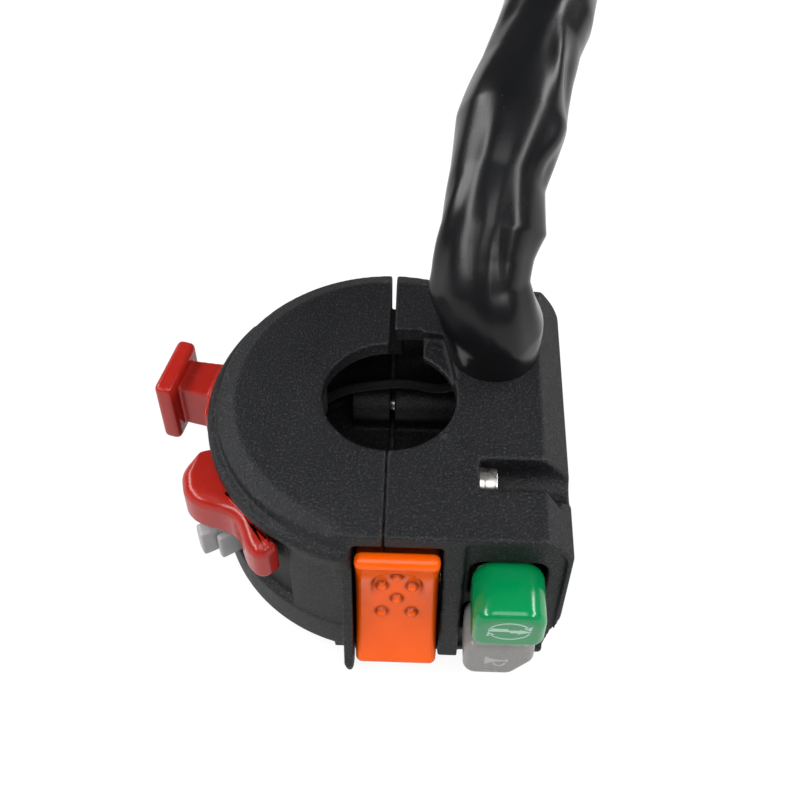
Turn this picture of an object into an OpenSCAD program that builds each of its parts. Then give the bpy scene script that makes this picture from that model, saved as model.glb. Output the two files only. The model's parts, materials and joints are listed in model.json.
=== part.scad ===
// Handlebar switch cluster for a 22 mm bar.
// A drum half and a block half clamp on the bar. They hold a light rocker, two push buttons,
// a stop knob, a kill rocker, a turn slider and the harness.
// The bar runs along Z, the buttons face -Y and the drum lies on the -X side.

/* [Casing] */
// Length of the casing along the bar
case_h = 36; // [35.5:0.5:48]
// Radius of the drum half
drum_r = 28.4; // [28.4:0.1:32]
// Bar axis to the side wall of the block half
block_w = 29.3; // [28:0.1:34]
// Bar axis to the flat front face
front_d = 27.5; // [27:0.1:29.5]
// Bar axis to the back face of the block half
back_d = 25.5; // [24.5:0.1:27]
// Thickness of the side walls
wall = 2.4; // [1.8:0.1:2.6]
// Thickness of the end walls
end_wall = 3; // [2.4:0.1:3.2]
// Thickness of the front wall
front_wall = 2.8; // [2.2:0.1:3]
// Width of the bevel round the ends of the drum
drum_bevel = 3; // [1:0.1:4]
// Height of the bevel round the ends of the drum
drum_bevel_h = 1.3; // [0.8:0.1:2.2]
// Width of the bevel along the upper edge of the block
block_bevel = 4.3; // [2:0.1:4.6]
// Height of the bevel along the upper edge of the block
block_bevel_h = 4.5; // [2:0.1:5]
// How far the side of the block leans in at its foot
draft = 2.2; // [0.5:0.1:2.6]
// Height of the leaning stretch of the side wall
draft_h = 13; // [8:0.5:18]
// Radius of the back corner of the block
corner_r = 4; // [3:0.5:7]
// Gap between the halves behind the bar
back_gap = 0.8; // [0.4:0.1:1.6]
// Gap between the halves in front of the bar
front_gap = 0.2; // [0.1:0.05:0.4]

/* [Hood, lip and fin] */
// How far the hood stands out of the drum
hood_out = 1.9; // [1.2:0.1:3]
// Thickness of the hood
hood_t = 3; // [2:0.1:3]
// Upper face of the hood below the end face
hood_drop = 3.4; // [3:0.1:3.6]
// How far the lower lip stands out of the drum
lip_out = 1.4; // [0.8:0.1:2]
// Foot of the lower lip above the base
lip_z0 = 3; // [2.5:0.1:5]
// Rounding of the edges of the hood and the lip
lip_edge = 1; // [0.4:0.1:1.2]
// How far the front cheek stands out of the drum
cheek_out = 1.2; // [0.5:0.1:1.4]
// Angle round the bar at which the hood and lip start
hood_az = 144; // [135:1:146]
// Angle round the bar at which the front cheek starts
cheek_az = 239; // [238.5:0.5:246]
// Thickness of the fin
fin_t = 1.6; // [1.2:0.1:2.4]
// How far the fin stands out of the front face
fin_out = 5.4; // [3:0.1:7]

/* [Bar clamp] */
// Radius of the bore that grips the bar
bore_r = 11.1; // [10.9:0.05:11.5]
// Room kept free round the bar inside the casing
bar_room = 1.2; // [0.8:0.1:1.4]
// Front screw in front of the bar axis
screw_y = 15.2; // [15.2:0.1:16.5]
// Front screw below the end face
screw_drop = 3; // [2.9:0.1:3.4]
// Back screw behind the bar axis
back_screw_y = 19.3; // [18:0.1:19.5]
// Back screw above the base
back_screw_z = 9; // [8:0.1:14]
// Split plane to the seats of the screws
seat_x = 14.7; // [13:0.1:17]
// Radius of the screw shanks
shank_r = 1.45; // [1.2:0.05:1.6]
// Radius of the screw heads
head_r = 2.6; // [2.3:0.05:2.6]
// Height of the screw heads
head_h = 2.1; // [1.6:0.1:2.6]
// Thickness of the washers
washer_t = 0.7; // [0.4:0.1:1]
// Width of the screw pockets
pocket_w = 5.8; // [5.6:0.1:6]
// Wall round the screw pockets
pocket_wall = 1.5; // [1.2:0.1:1.6]
// Radius of the screw bosses
boss_r = 3.4; // [3.1:0.1:3.6]
// Radius of the thread inserts
insert_r = 2.3; // [2:0.1:2.5]
// Length of the thread inserts
insert_l = 6; // [4:0.5:6]

/* [Light rocker] */
// Width of the rocker along X
light_w = 13.4; // [11:0.1:13.6]
// Length of the rocker along Z
light_l = 27.2; // [24:0.1:27.4]
// Height of the rocker tips over the pivot
light_tip = 8.7; // [7.5:0.1:8.8]
// Depth of the finger dip
light_dip = 2.8; // [0.8:0.1:3]
// Tilt of the rocker to each side
light_tilt = 7.5; // [4:0.5:7.5]
// Pivot of the rocker below the end face
light_drop = 19.8; // [19.4:0.1:20]
// Pivot of the rocker behind the front face
light_pivot_d = 5.5; // [5:0.1:6]
// Radius of the pivot pin
light_pin_r = 1.25; // [1:0.05:1.5]
// Free height over the rocker in its recess
light_over = 1.9; // [0.6:0.1:1.9]
// Thickness of the cheeks of the rocker frame
light_cheek_t = 1.8; // [1.2:0.1:2]

/* [Push buttons] */
// Side wall of the block to the middle of the push buttons
push_inset = 9.6; // [9.3:0.1:10]
// Width of the start button
start_w = 11.5; // [10:0.1:12]
// Height of the start button
start_h = 10; // [9:0.1:10]
// How far the start button stands out of the front face
start_out = 8.4; // [5:0.1:10]
// Middle of the start button below the end face
start_drop = 13; // [12.8:0.1:13.2]
// Width of the horn button
horn_w = 11.4; // [10:0.1:12]
// Height of the horn button
horn_h = 10; // [9:0.1:10.2]
// How far the horn button stands out of the front face
horn_out = 7.2; // [4:0.1:9]
// How far the horn button's cap is set towards the middle
horn_set = 0.7; // [0:0.1:0.9]
// Cut of the horn button's lower outer corner
horn_cut = 3; // [1:0.1:4]
// Start button to horn button
push_pitch = 12.4; // [12.2:0.1:12.6]
// Travel of the push buttons
push_travel = 2.5; // [1:0.1:2.5]
// Rounding of the push buttons
push_round = 2.2; // [1:0.1:2.6]
// Depth of the panel round the push buttons
panel_d = 0.8; // [0.4:0.1:1]
// Start button to the edge of its panel
panel_margin = 1.3; // [1.1:0.1:1.6]
// Width of the bar between the rocker and the panel
divider_w = 3.4; // [2.6:0.1:3.4]
// How far that bar stands out of the front face at its foot
divider_out = 1.4; // [0.4:0.1:2.5]

/* [Stop knob] */
// Angle of the stop knob round the bar
stop_az = 166; // [164:0.5:166.5]
// Middle of the stop knob below the end face
stop_drop = 12.1; // [11.9:0.1:12.3]
// Width of the head of the stop knob
stop_head_w = 11.8; // [9:0.1:14]
// Height of the head of the stop knob
stop_head_h = 14; // [10:0.1:14.4]
// Thickness of the head of the stop knob
stop_head_t = 3.3; // [2:0.1:4.5]
// How far the head stands out of the drum
stop_out = 12; // [10:0.1:15]
// Width of the stem of the stop knob
stop_stem_w = 6.6; // [5:0.1:7]
// Height of the stem of the stop knob
stop_stem_h = 9.6; // [7:0.1:9.8]
// Width of the flange of the stop knob
stop_flange_w = 15.2; // [15:0.1:15.6]
// Height of the flange of the stop knob
stop_flange_h = 10.2; // [9.8:0.1:10.2]
// Travel of the stop knob
stop_travel = 3; // [1.5:0.1:3]

/* [Kill rocker] */
// Angle of the pivot of the kill rocker round the bar
kill_az = 213.5; // [213:0.5:214]
// Direction that the kill rocker faces at mid travel
kill_face_az = 217; // [216.5:0.5:217.5]
// Tilt of the kill rocker to each side
kill_tilt = 7.5; // [4:0.5:7.5]
// Pivot of the kill rocker below the drum surface
kill_pivot_d = 5.9; // [5.5:0.1:6]
// Height of the kill rocker along the bar
kill_w = 8; // [6:0.1:8]
// Pivot to the front end of the kill rocker
kill_front = 9.9; // [9:0.1:10.4]
// Pivot to the back end of the kill rocker's face
kill_back = 11.1; // [10:0.1:11.4]
// Height of the tips over the pivot
kill_tip_n = 11.8; // [11:0.1:13]
// Depth of the thumb saddle
kill_dip = 2.7; // [1:0.1:3]
// Radius of the pivot pin
kill_pin_r = 1; // [0.8:0.05:1.2]
// Upper row of side controls below the end face
row_drop = 11.6; // [11.5:0.1:12]

/* [Turn slider] */
// Angle of the turn slider round the bar
turn_az = 207; // [205:0.5:208]
// Turn of the slider to each side
turn_swing = 10; // [4:0.5:10]
// Height of the turn slider along the bar
turn_h = 6.4; // [5.6:0.1:6.6]
// How far the turn slider stands out of the drum
turn_out = 7.2; // [5:0.1:9]
// Upper row of side controls to the turn slider
row_pitch = 9.4; // [9.2:0.1:9.6]

/* [Cable] */
// Radius of the harness sleeve
sleeve_r = 8; // [7:0.1:8.5]
// Side wall of the block to the middle of the cable outlet
cable_inset = 11.8; // [11.6:0.1:12.2]
// Middle of the cable outlet along Y
cable_y = 11; // [10.5:0.1:11.5]
// Radius of the grommet in the end wall
grommet_r = 6; // [5:0.1:6.2]
// Radius of the hole in the grommet
grommet_hole_r = 4; // [3.4:0.1:4.4]
// Length of bare wire between the sleeve and the plug
wire_l = 18; // [10:1:30]
// Radius of one wire
wire_r = 0.9; // [0.6:0.05:1]
// Length of the plug
plug_l = 27; // [20:1:35]
// Width of the plug
plug_w = 23; // [20:0.5:28]
// Height of the plug
plug_h = 14; // [12:0.5:16]
// Step between the terminals of the plug
plug_pitch = 6; // [5:0.1:6.4]

/* [Fits] */
// Radial clearance of pins in their holes
run_fit = 0.05; // [0.02:0.01:0.1]
// Clearance of pieces that are pressed or seated
seat_fit = 0.04; // [0.02:0.01:0.08]
// Gap between a seated frame and its wall
seat_gap = 0.15; // [0.1:0.05:0.2]
// Gap round the moving controls
gap = 0.35; // [0.3:0.05:0.4]

/* [Hidden] */
$fn = 64;
// Reach of the blocks that cut openings
far = 100;
// Small overlap of cuts
eps = 0.01;
// How far cuts and joined pieces run past a face
over = 1;
// Segments of rounded caps
cap_fn = 24;

// Levels inside the casing
in_z0 = end_wall;
in_z1 = case_h - end_wall;
drum_in = drum_r - wall;
bar_r = bore_r + bar_room;
front_in = -front_d + front_wall;
block_in = block_w - wall;
in_bevel = 2;

// Places across the front, from the side wall to the recess of the rocker
push_x = block_w - push_inset;
cable_x = block_w - cable_inset;
panel_x0 = push_x - start_w / 2 - panel_margin;
rec_x1 = panel_x0 - divider_w;
rec_x0 = rec_x1 - light_w - 2 * gap;
light_x = (rec_x0 + rec_x1) / 2;

// Hood, rows of side controls and lip
hood_z1 = case_h - hood_drop;
hood_z0 = hood_z1 - hood_t;
row_z = case_h - row_drop;
turn_z = row_z - row_pitch;
lip_gap = 0.6;
lip_z1 = turn_z - turn_h / 2 - lip_gap;
band_root = drum_r - wall / 2;

// Clamp screws
screw_z = case_h - screw_drop;
pocket_z0 = screw_z - pocket_w / 2;
flare = 3.4;
flare_l = 4.5;
boss_end = 1.2;
boss_l = insert_l + boss_end;
insert_set = 0.3;
insert_x1 = -back_gap / 2 - insert_set;
screw_short = 0.5;
screw_tip_x = insert_x1 - insert_l + screw_short;
screw_places = [[-screw_y, screw_z], [back_screw_y, back_screw_z]];
shank_play = 0.25;
washer_rim = 0.1;
back_boss_r = pocket_w / 2 + pocket_wall;
rib_t = 3;
tongue_t = 1;
tongue_x = 1.8;
tongue_root = 3;
tongue_lift = 7.5;
tongue_y1 = back_d - wall - seat_gap;
tongue_z0 = back_screw_z + boss_r + tongue_lift;

// Light rocker and its frame
light_z = case_h - light_drop;
light_y = -front_d + light_pivot_d;
light_half = light_l / 2;
light_land = 1.6;
light_end = 2.4;
light_heel = 5.5;
light_back = 0.8;
light_stem_w = 6;
light_reach = light_half * cos(light_tilt) + light_tip * sin(light_tilt) + gap;
rec_z0 = light_z - light_reach;
rec_z1 = light_z + light_reach + light_over;
light_frame_x0 = rec_x0 - light_cheek_t;
light_frame_x1 = rec_x1 + light_cheek_t;
light_cheek_h = 11;
light_cheek_lip = 2.2;
light_base_y1 = -bar_r - 0.6;
light_base_t = 1.6;
light_base_y0 = light_base_y1 - light_base_t;
light_base_h = 16;
light_contact_t = 0.4;
plunger_r = 1.3;
plunger_wall = 0.8;
spring_play = 0.1;
spring_t = 0.4;
light_contact_n = light_base_y0 - light_contact_t - light_y;
light_plunger_n = light_contact_n - gap;
light_stem_room = 2.5;
light_stem = light_contact_n - light_stem_room;
light_spring_l = 3;
light_contact_w = 6;
light_contact_h = 10;

// Fin and flat front of the drum half
fin_x1 = rec_x0;
fin_x0 = fin_x1 - fin_t;
fin_round = 1.4;
fin_foot = 0;
fin_d = front_d + fin_out;
fin_head_drop = 0.8;
front_block_t = 1.8;
front_block_x = light_frame_x0 - front_block_t;
cheek_az1 = 270 - asin((fin_t / 2 - fin_x1) / drum_r);

// Push buttons
start_z = case_h - start_drop;
horn_z = start_z - push_pitch;
tab = 0.8;
tab_t = 1;
tab_y0 = front_in + gap;
tab_y1 = tab_y0 + tab_t;
stem_r = 3;
stem_l = 3.6;
stem_y1 = tab_y1 + stem_l;
contact_t = 0.5;
contact_w = 9.6;
contact_h = 4;
rivet_h = 0.45;
rivet_r = 0.9;
rivet_step = 3.5;
lug_l = 2.2;
push_base_y0 = stem_y1 + contact_t + push_travel + gap + rivet_h;
push_base_t = 2;
push_base_y1 = push_base_y0 + push_base_t;
push_base_w = 11;
push_base_z1 = pocket_z0 - pocket_wall - gap;
push_spring_r = 1.7;
push_spring_in = 1.2;
push_post_r = 1;
push_post_l = 3;
push_places = [start_z, horn_z];
panel_rim = 0.9;
panel_r = 5;
panel_z0 = 1.6;
panel_z1 = case_h - 1.8;
divider_foot = 0.3;

// Stop knob
stop_z = case_h - stop_drop;
stop_r0 = drum_r + 0.2;
stop_flange_t = 2.9;
stop_head_r1 = drum_r + stop_out;
stop_head_r0 = stop_head_r1 - stop_head_t;
stop_bar_w = 6;
stop_bar_h = 6.4;
stop_bar_r0 = bar_r + stop_travel + gap;
stop_frame_r0 = bar_r + 1.2;
stop_frame_r1 = drum_in - 1.9;
stop_frame_w = 13.6;
stop_frame_foot = 1.5;
stop_spring_r = 4.85;
stop_spring_in = 4.5;
stop_spring_gap = gap + 0.2;
stop_contact_t = 0.5;
stop_contact_h = 4;
stop_contact_in = 2;
stop_edge = 1;
stop_flare = 1.2;

// Kill rocker and its frame
kill_r = drum_r - kill_pivot_d;
kill_x = kill_r * cos(kill_az);
kill_y = kill_r * sin(kill_az);
kill_lift = kill_r * (1 - cos(kill_face_az + kill_tilt - kill_az));
kill_base_n = kill_pivot_d + kill_lift + gap;
kill_round_back = 2.2;
kill_round_front = 1.2;
kill_neck = 3.4;
kill_hub_r = 3;
kill_stem_w = 4;
kill_end = 0.6;
kill_tip_u0 = kill_round_back + kill_end - kill_back;
kill_heel = [kill_base_n - 1.2, -kill_back - 1.9];
kill_sole = [2, -kill_back - 0.1];
kill_flank = 1.55;
kill_front_drop = 1.1;
kill_tip_u1 = kill_front - kill_round_front - kill_end;
kill_chord = (kill_tip_u1 - kill_tip_u0) / 2;
kill_saddle_r = (pow(kill_chord, 2) + pow(kill_dip, 2)) / (2 * kill_dip);
kill_z0 = row_z - kill_w / 2;
kill_z1 = row_z + kill_w / 2;
kill_frame_r0 = bar_r + 1.2;
kill_frame_r1 = drum_in - gap;
kill_frame_spread = 17;
kill_frame_wall = 1.8;
kill_frame_foot = 1.5;
kill_contact_t = 0.4;
kill_plunger_r = 1.1;
kill_wall = 0.5;
kill_contact_n = kill_r - kill_frame_r0 - kill_frame_wall - kill_contact_t;
kill_plunger_n = kill_contact_n - gap;
kill_stem_room = 1.9;
kill_stem = kill_contact_n - kill_stem_room;
kill_contact_az = 7;
kill_contact_h = 4;
kill_window = kill_neck + (kill_pivot_d + 1) * sin(kill_tilt) + gap;
kill_window_back = kill_flank - kill_sole[1];
kill_window_n = kill_sole[0] * cos(kill_tilt) + kill_sole[1] * sin(kill_tilt) - gap;

// Turn slider
turn_neck_az = 3.5;
turn_neck_h = turn_h - 1.6;
turn_knob_az = 6;
turn_rib_az = 2.4;
turn_side_rib_az = 1.4;
turn_side_az = 4.6;
turn_side_drop = 2.4;
turn_base_out = 2.6;
turn_float = 0.4;
turn_slack = 0.2;
turn_carriage_az = 12;
turn_carriage_t = 2;
turn_carriage_r1 = drum_in - gap;
turn_carriage_r0 = turn_carriage_r1 - turn_carriage_t;
turn_board_r1 = turn_carriage_r0 - gap;
turn_board_t = 4;
turn_board_r0 = turn_board_r1 - turn_board_t;
turn_board_az = 20;
turn_board_drop = 0.5;
turn_board_floor = 0.6;
turn_slot_az = turn_neck_az + turn_swing + 0.8;
ball_r = 1.2;
ball_out = 0.2;
ball_reach = turn_board_r1 + ball_out - ball_r;

// Way for the wires past the bar in the end wall of the block half
way_x = 5.4;
way_y = bore_r + 3.4;
ledge_x = 9;
ledge_y = bore_r + 2.5;
ledge_d = 1.8;

// Grommet
grommet_flange_r = grommet_r + 0.8;
grommet_flange_t = 1.4;

// Route of the harness from the end wall, over and down to the floor
route = [[17.5, 11, 36], [17.3, 10.8, 41], [16.3, 11, 46], [15.4, 13.4, 50.5], [15.2, 17, 54.5],
         [15.9, 22, 58.5], [17.6, 29.5, 62.5], [19.4, 39, 65.5], [22.4, 51, 67], [26.2, 65.5, 67.5],
         [31, 84, 66], [36, 103, 60], [41, 121, 50], [45, 138, 38], [48, 154, 26], [50, 170, 16],
         [51, 186, 10], [50, 201, 8], [46, 216, 8], [38, 229, 8], [26, 238, 8], [12, 242, 8],
         [0, 242, 8], [-12, 242, 8]];
route_steps = 2;
route_sides = 12;
route_start = [0, 0, 1];
route_stop = [-1, 0, 0];
sleeve_end = route[len(route) - 1];
wire_x0 = sleeve_end[0] - wire_l;
plug_x0 = wire_x0 - plug_l;
plug_z = plug_h / 2;
plug_cols = [-1, 0, 1];
plug_rows = [-0.5, 0.5];
plug_row_step = 5.6;
terminal_w = 2.8;
terminal_h = 1.8;
terminal_t = 0.4;
terminal_gap = 0.3;
terminal_set = 1;
terminal_back = 8;
plug_end = 4;
terminal_x1 = wire_x0 - plug_end;
latch_set = 3;
latch_w = 7;
latch_l = 12;
latch_t = 1.4;

// Wires inside the casing, each from a switch to the grommet
inner_sides = 8;
inner_steps = 4;
inner_up = [0, 0, 1];
inner_end_z = case_h - 0.5;
inner_low_z = in_z1 - 4;
inner_back_z = back_screw_z + boss_r + 3;
inner_ring = (bar_r + drum_in) / 2;
function around(az, z) = [inner_ring * cos(az), inner_ring * sin(az), z];
inner_routes = [
    [[push_x, push_base_y1 + lug_l, start_z - 5], [push_x + 0.5, -4, start_z - 3],
     [cable_x + 1.6, cable_y - 4, inner_low_z - 2], [cable_x + 1.6, cable_y, inner_low_z],
     [cable_x + 1.6, cable_y, inner_end_z]],
    [[light_frame_x1 - 2, light_base_y1 + wire_r, light_z], [bar_r + 2, -6, light_z + 1],
     [cable_x - 1.6, cable_y - 6, inner_low_z - 4], [cable_x - 1.6, cable_y - 1, inner_low_z],
     [cable_x - 1.6, cable_y - 1, inner_end_z]],
    [around(135, inner_back_z + 0.5), around(115, inner_back_z), around(85, inner_back_z),
     around(60, inner_back_z + 2), [cable_x - 1, cable_y + 4, inner_low_z - 5],
     [cable_x, cable_y + 2, inner_low_z],
     [cable_x, cable_y + 2, inner_end_z]]];

// Points along a smooth curve through the given places
function unit(v) = v / norm(v);
function blend(a, b, c, d, t) =
    0.5 * (2 * b + (c - a) * t + (2 * a - 5 * b + 4 * c - d) * t * t + (3 * b - a - 3 * c + d) * t * t * t);
function smooth(p, n) = concat(
    [for (i = [0 : len(p) - 2]) for (k = [0 : n - 1])
        blend(p[max(i - 1, 0)], p[i], p[i + 1], p[min(i + 2, len(p) - 1)], k / n)],
    [p[len(p) - 1]]);
function headings(q, first, last) = [for (i = [0 : len(q) - 1])
    i == 0 ? first : i == len(q) - 1 ? last : unit(q[i + 1] - q[i - 1])];
function level(v, t) = unit(v - (v * t) * t);
function sides_of(t, v, i = 0) = i == len(t) ? [] :
    let (s = level(v, t[i])) concat([s], sides_of(t, s, i + 1));

module tube(places, r, sides, steps, first, last, side) {
    q = smooth(places, steps);
    t = headings(q, first, last);
    s = sides_of(t, side);
    n = len(q);
    ring = [for (i = [0 : n - 1]) for (k = [0 : sides - 1])
        q[i] + r * (cos(360 * k / sides) * s[i] + sin(360 * k / sides) * cross(t[i], s[i]))];
    points = concat(ring, [q[0], q[n - 1]]);
    skin = [for (i = [0 : n - 2]) for (k = [0 : sides - 1])
        let (a = i * sides + k, b = i * sides + (k + 1) % sides)
        each [[a, a + sides, b], [b, a + sides, b + sides]]];
    foot = [for (k = [0 : sides - 1]) [n * sides, k, (k + 1) % sides]];
    head = [for (k = [0 : sides - 1])
        [n * sides + 1, (n - 1) * sides + (k + 1) % sides, (n - 1) * sides + k]];
    polyhedron(points, concat(skin, foot, head));
}

// Shared shapes
module box(lo, hi) {
    translate(lo) cube(hi - lo);
}

module rod_x(x0, x1, r) {
    translate([x0, 0, 0]) rotate([0, 90, 0]) cylinder(h = x1 - x0, r = r);
}

module rod_y(y0, y1, r) {
    translate([0, y1, 0]) rotate([90, 0, 0]) cylinder(h = y1 - y0, r = r);
}

module extrude_x(x0, x1) {
    translate([x0, 0, 0]) rotate([90, 0, 90]) linear_extrude(x1 - x0) children();
}

module extrude_y(y0, y1) {
    translate([0, y1, 0]) rotate([90, 0, 0]) linear_extrude(y1 - y0) children();
}

module sector(r0, r1, az0, az1, z0, z1) {
    rotate([0, 0, az0]) rotate_extrude(angle = az1 - az0) translate([r0, z0]) square([r1 - r0, z1 - z0]);
}

module rounded_rect(w, h, r) {
    square([w - 2 * r, h], center = true);
    square([w, h - 2 * r], center = true);
    for (x = [-1, 1], y = [-1, 1]) {
        translate([x * (w / 2 - r), y * (h / 2 - r)]) circle(r);
    }
}

// Half section of the drum, radius across and height up
module drum_section() {
    polygon([[0, 0], [drum_r - drum_bevel, 0], [drum_r, drum_bevel_h], [drum_r, case_h - drum_bevel_h],
             [drum_r - drum_bevel, case_h], [0, case_h]]);
}

// Rounded band on the drum, for the hood and the lip
module band(r1, az0, az1, z0, z1) {
    rotate([0, 0, az0]) rotate_extrude(angle = az1 - az0) {
        translate([band_root, z0]) square([r1 - lip_edge - band_root, z1 - z0]);
        translate([band_root, z0 + lip_edge]) square([r1 - band_root, z1 - z0 - 2 * lip_edge]);
        translate([r1 - lip_edge, z0 + lip_edge]) circle(lip_edge);
        translate([r1 - lip_edge, z1 - lip_edge]) circle(lip_edge);
    }
}

module fin() {
    extrude_x(fin_x0, fin_x1) {
        polygon([[front_in, fin_foot], [-fin_d + fin_round, fin_foot], [-fin_d, fin_foot + fin_round],
                 [-front_d, case_h - fin_head_drop], [front_in, case_h - fin_head_drop]]);
        translate([-fin_d + fin_round, fin_foot + fin_round]) circle(fin_round);
    }
}

// Place children at each clamp screw
module at_screws() {
    for (p = screw_places) {
        translate([0, p[0], p[1]]) children();
    }
}

// Recess of the light rocker and the bay of its frame, cut from both halves
module light_opening() {
    box([rec_x0, -far, rec_z0], [rec_x1, front_in + over, rec_z1]);
    box([light_frame_x0 - seat_gap, front_in, light_z - light_cheek_h / 2 - seat_gap],
        [light_frame_x1 + seat_gap, -bar_r, light_z + light_cheek_h / 2 + seat_gap]);
}

// Drum half
module left_outer() {
    intersection() {
        rotate([0, 0, 90]) rotate_extrude(angle = 180) drum_section();
        box([-far, -front_d, -far], [far, far, far]);
    }
    band(drum_r + hood_out, hood_az, cheek_az1, hood_z0, hood_z1);
    band(drum_r + lip_out, hood_az, cheek_az1, lip_z0, lip_z1);
    sector(band_root, drum_r + cheek_out, cheek_az, cheek_az1, lip_z0 + lip_edge, hood_z1 - lip_edge);
    box([front_block_x, -front_d, 0], [0, front_in + over, case_h]);
    fin();
}

module left_cavity() {
    intersection() {
        rotate([0, 0, 90]) rotate_extrude(angle = 180)
            translate([0, in_z0]) square([drum_in, in_z1 - in_z0]);
        box([-far, front_in, -far], [far, far, far]);
    }
}

module left_bosses() {
    at_screws() rod_x(-back_gap / 2 - boss_l, 0, boss_r);
    box([-back_gap / 2 - boss_l, back_screw_y - rib_t / 2, in_z0 / 2],
        [0, back_screw_y + rib_t / 2, back_screw_z]);
    box([-tongue_root, tongue_y1 - tongue_t, tongue_z0],
        [-back_gap / 2, drum_in + wall / 2, in_z1 - tongue_t]);
}

// Lip of the drum half that covers the split from inside
module tongue() {
    box([over - tongue_root, tongue_y1 - tongue_t, tongue_z0], [tongue_x, tongue_y1, in_z1 - tongue_t]);
}

module left_cuts() {
    translate([0, 0, -far]) cylinder(h = 2 * far, r = bore_r);
    box([-front_gap / 2, -far, -far], [far, 0, far]);
    box([-back_gap / 2, -eps, -far], [far, far, far]);
    light_opening();
    rotate([0, 0, stop_az])
        box([drum_in - 3, -stop_flange_w / 2 - gap, stop_z - stop_flange_h / 2 - gap],
            [far, stop_flange_w / 2 + gap, stop_z + stop_flange_h / 2 + gap]);
    translate([kill_x, kill_y, 0]) rotate([0, 0, kill_face_az])
        box([kill_window_n, -kill_window_back, kill_z0 - gap], [far, kill_window, kill_z1 + gap]);
    sector(drum_in - over, drum_r + over, turn_az - turn_slot_az, turn_az + turn_slot_az,
           turn_z - turn_neck_h / 2 - gap, turn_z + turn_neck_h / 2 + gap);
    at_screws() {
        rod_x(insert_x1 - insert_l - seat_fit, over, insert_r + seat_fit);
    }
}

module left_shell() {
    color("#2d2d2f")
    difference() {
        union() {
            difference() {
                left_outer();
                left_cavity();
            }
            intersection() {
                left_outer();
                left_bosses();
            }
        }
        left_cuts();
    }
    color("#2d2d2f") tongue();
}

// Block half
module block_plan() {
    translate([0, -front_d]) square([block_w - corner_r, front_d + back_d]);
    translate([0, -front_d]) square([block_w, front_d + back_d - corner_r]);
    translate([block_w - corner_r, back_d - corner_r]) circle(corner_r);
}

module block_front() {
    polygon([[0, 0], [block_w - draft, 0], [block_w, draft_h], [block_w, case_h - block_bevel_h],
             [block_w - block_bevel, case_h], [0, case_h]]);
}

module block_side() {
    polygon([[-front_d, 0], [back_d - drum_bevel, 0], [back_d, drum_bevel_h],
             [back_d, case_h - drum_bevel_h], [back_d - drum_bevel, case_h], [-front_d, case_h]]);
}

module right_outer() {
    shoulder_az = asin(back_d / drum_r);
    intersection() {
        linear_extrude(case_h) block_plan();
        extrude_y(-front_d, back_d) block_front();
        extrude_x(0, block_w) block_side();
    }
    rotate([0, 0, shoulder_az]) rotate_extrude(angle = 90 - shoulder_az) drum_section();
    extrude_x(rec_x1, panel_x0)
        polygon([[front_in, divider_foot], [-front_d - divider_out, divider_foot],
                 [-front_d, panel_z1], [front_in, panel_z1]]);
}

module right_cavity() {
    extrude_y(front_in, back_d - wall)
        polygon([[-1, in_z0], [block_in - draft * (1 - in_z0 / draft_h), in_z0], [block_in, draft_h],
                 [block_in, in_z1 - in_bevel], [block_in - in_bevel, in_z1], [-1, in_z1]]);
}

module right_bosses() {
    at_screws() rod_x(0, seat_x, boss_r);
    box([seat_x - pocket_wall, -screw_y - pocket_w / 2 - pocket_wall, pocket_z0 - pocket_wall],
        [block_w, -screw_y + pocket_w / 2 + pocket_wall, case_h]);
    translate([0, back_screw_y, back_screw_z]) rod_x(seat_x - pocket_wall, block_w, back_boss_r);
    box([0, back_screw_y - rib_t / 2, in_z0 / 2], [block_in, back_screw_y + rib_t / 2, back_screw_z]);
}

// Panel round the push buttons, with its large upper corner
module panel_shape() {
    translate([panel_x0, panel_z0]) square([block_w - panel_rim - panel_x0, panel_z1 - panel_r - panel_z0]);
    translate([panel_x0, panel_z0]) square([block_w - panel_rim - panel_r - panel_x0, panel_z1 - panel_z0]);
    translate([block_w - panel_rim - panel_r, panel_z1 - panel_r]) circle(panel_r);
}

module button_holes() {
    extrude_y(-far, front_in + over) {
        translate([push_x, start_z]) rounded_rect(start_w + 2 * gap, start_h + 2 * gap, push_round);
        translate([push_x - horn_set, horn_z]) rounded_rect(horn_w + 2 * gap, horn_h + 2 * gap, push_round);
    }
}

module front_pocket() {
    translate([0, -screw_y, screw_z]) {
        rod_x(seat_x, far, pocket_w / 2);
        box([seat_x, -pocket_w / 2, 0], [far, pocket_w / 2, far]);
        linear_extrude(far)
            polygon([[block_w - flare_l, -pocket_w / 2], [block_w + over, -pocket_w / 2 - flare],
                     [block_w + over, 0], [block_w - flare_l, 0]]);
    }
}

module right_cuts() {
    translate([0, 0, -far]) cylinder(h = 2 * far, r = bore_r);
    box([-far, -far, -far], [front_gap / 2, 0, far]);
    box([-far, -eps, -far], [back_gap / 2, far, far]);
    light_opening();
    at_screws() rod_x(-over, seat_x + over, shank_r + shank_play);
    front_pocket();
    translate([0, back_screw_y, back_screw_z]) rod_x(seat_x, far, pocket_w / 2);
    extrude_y(-far, -front_d + panel_d) panel_shape();
    button_holes();
    translate([cable_x, cable_y, in_z1 - over]) cylinder(h = far, r = grommet_r + seat_fit);
    box([0, 0, in_z1 - over], [way_x, way_y, far]);
    translate([0, 0, case_h - ledge_d]) linear_extrude(far)
        polygon([[0, 0], [0, way_y], [ledge_x, ledge_y], [bore_r, bore_r / 3]]);
}

module right_shell() {
    color("#29292b")
    difference() {
        union() {
            difference() {
                right_outer();
                right_cavity();
            }
            intersection() {
                right_outer();
                right_bosses();
            }
        }
        right_cuts();
    }
}

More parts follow.
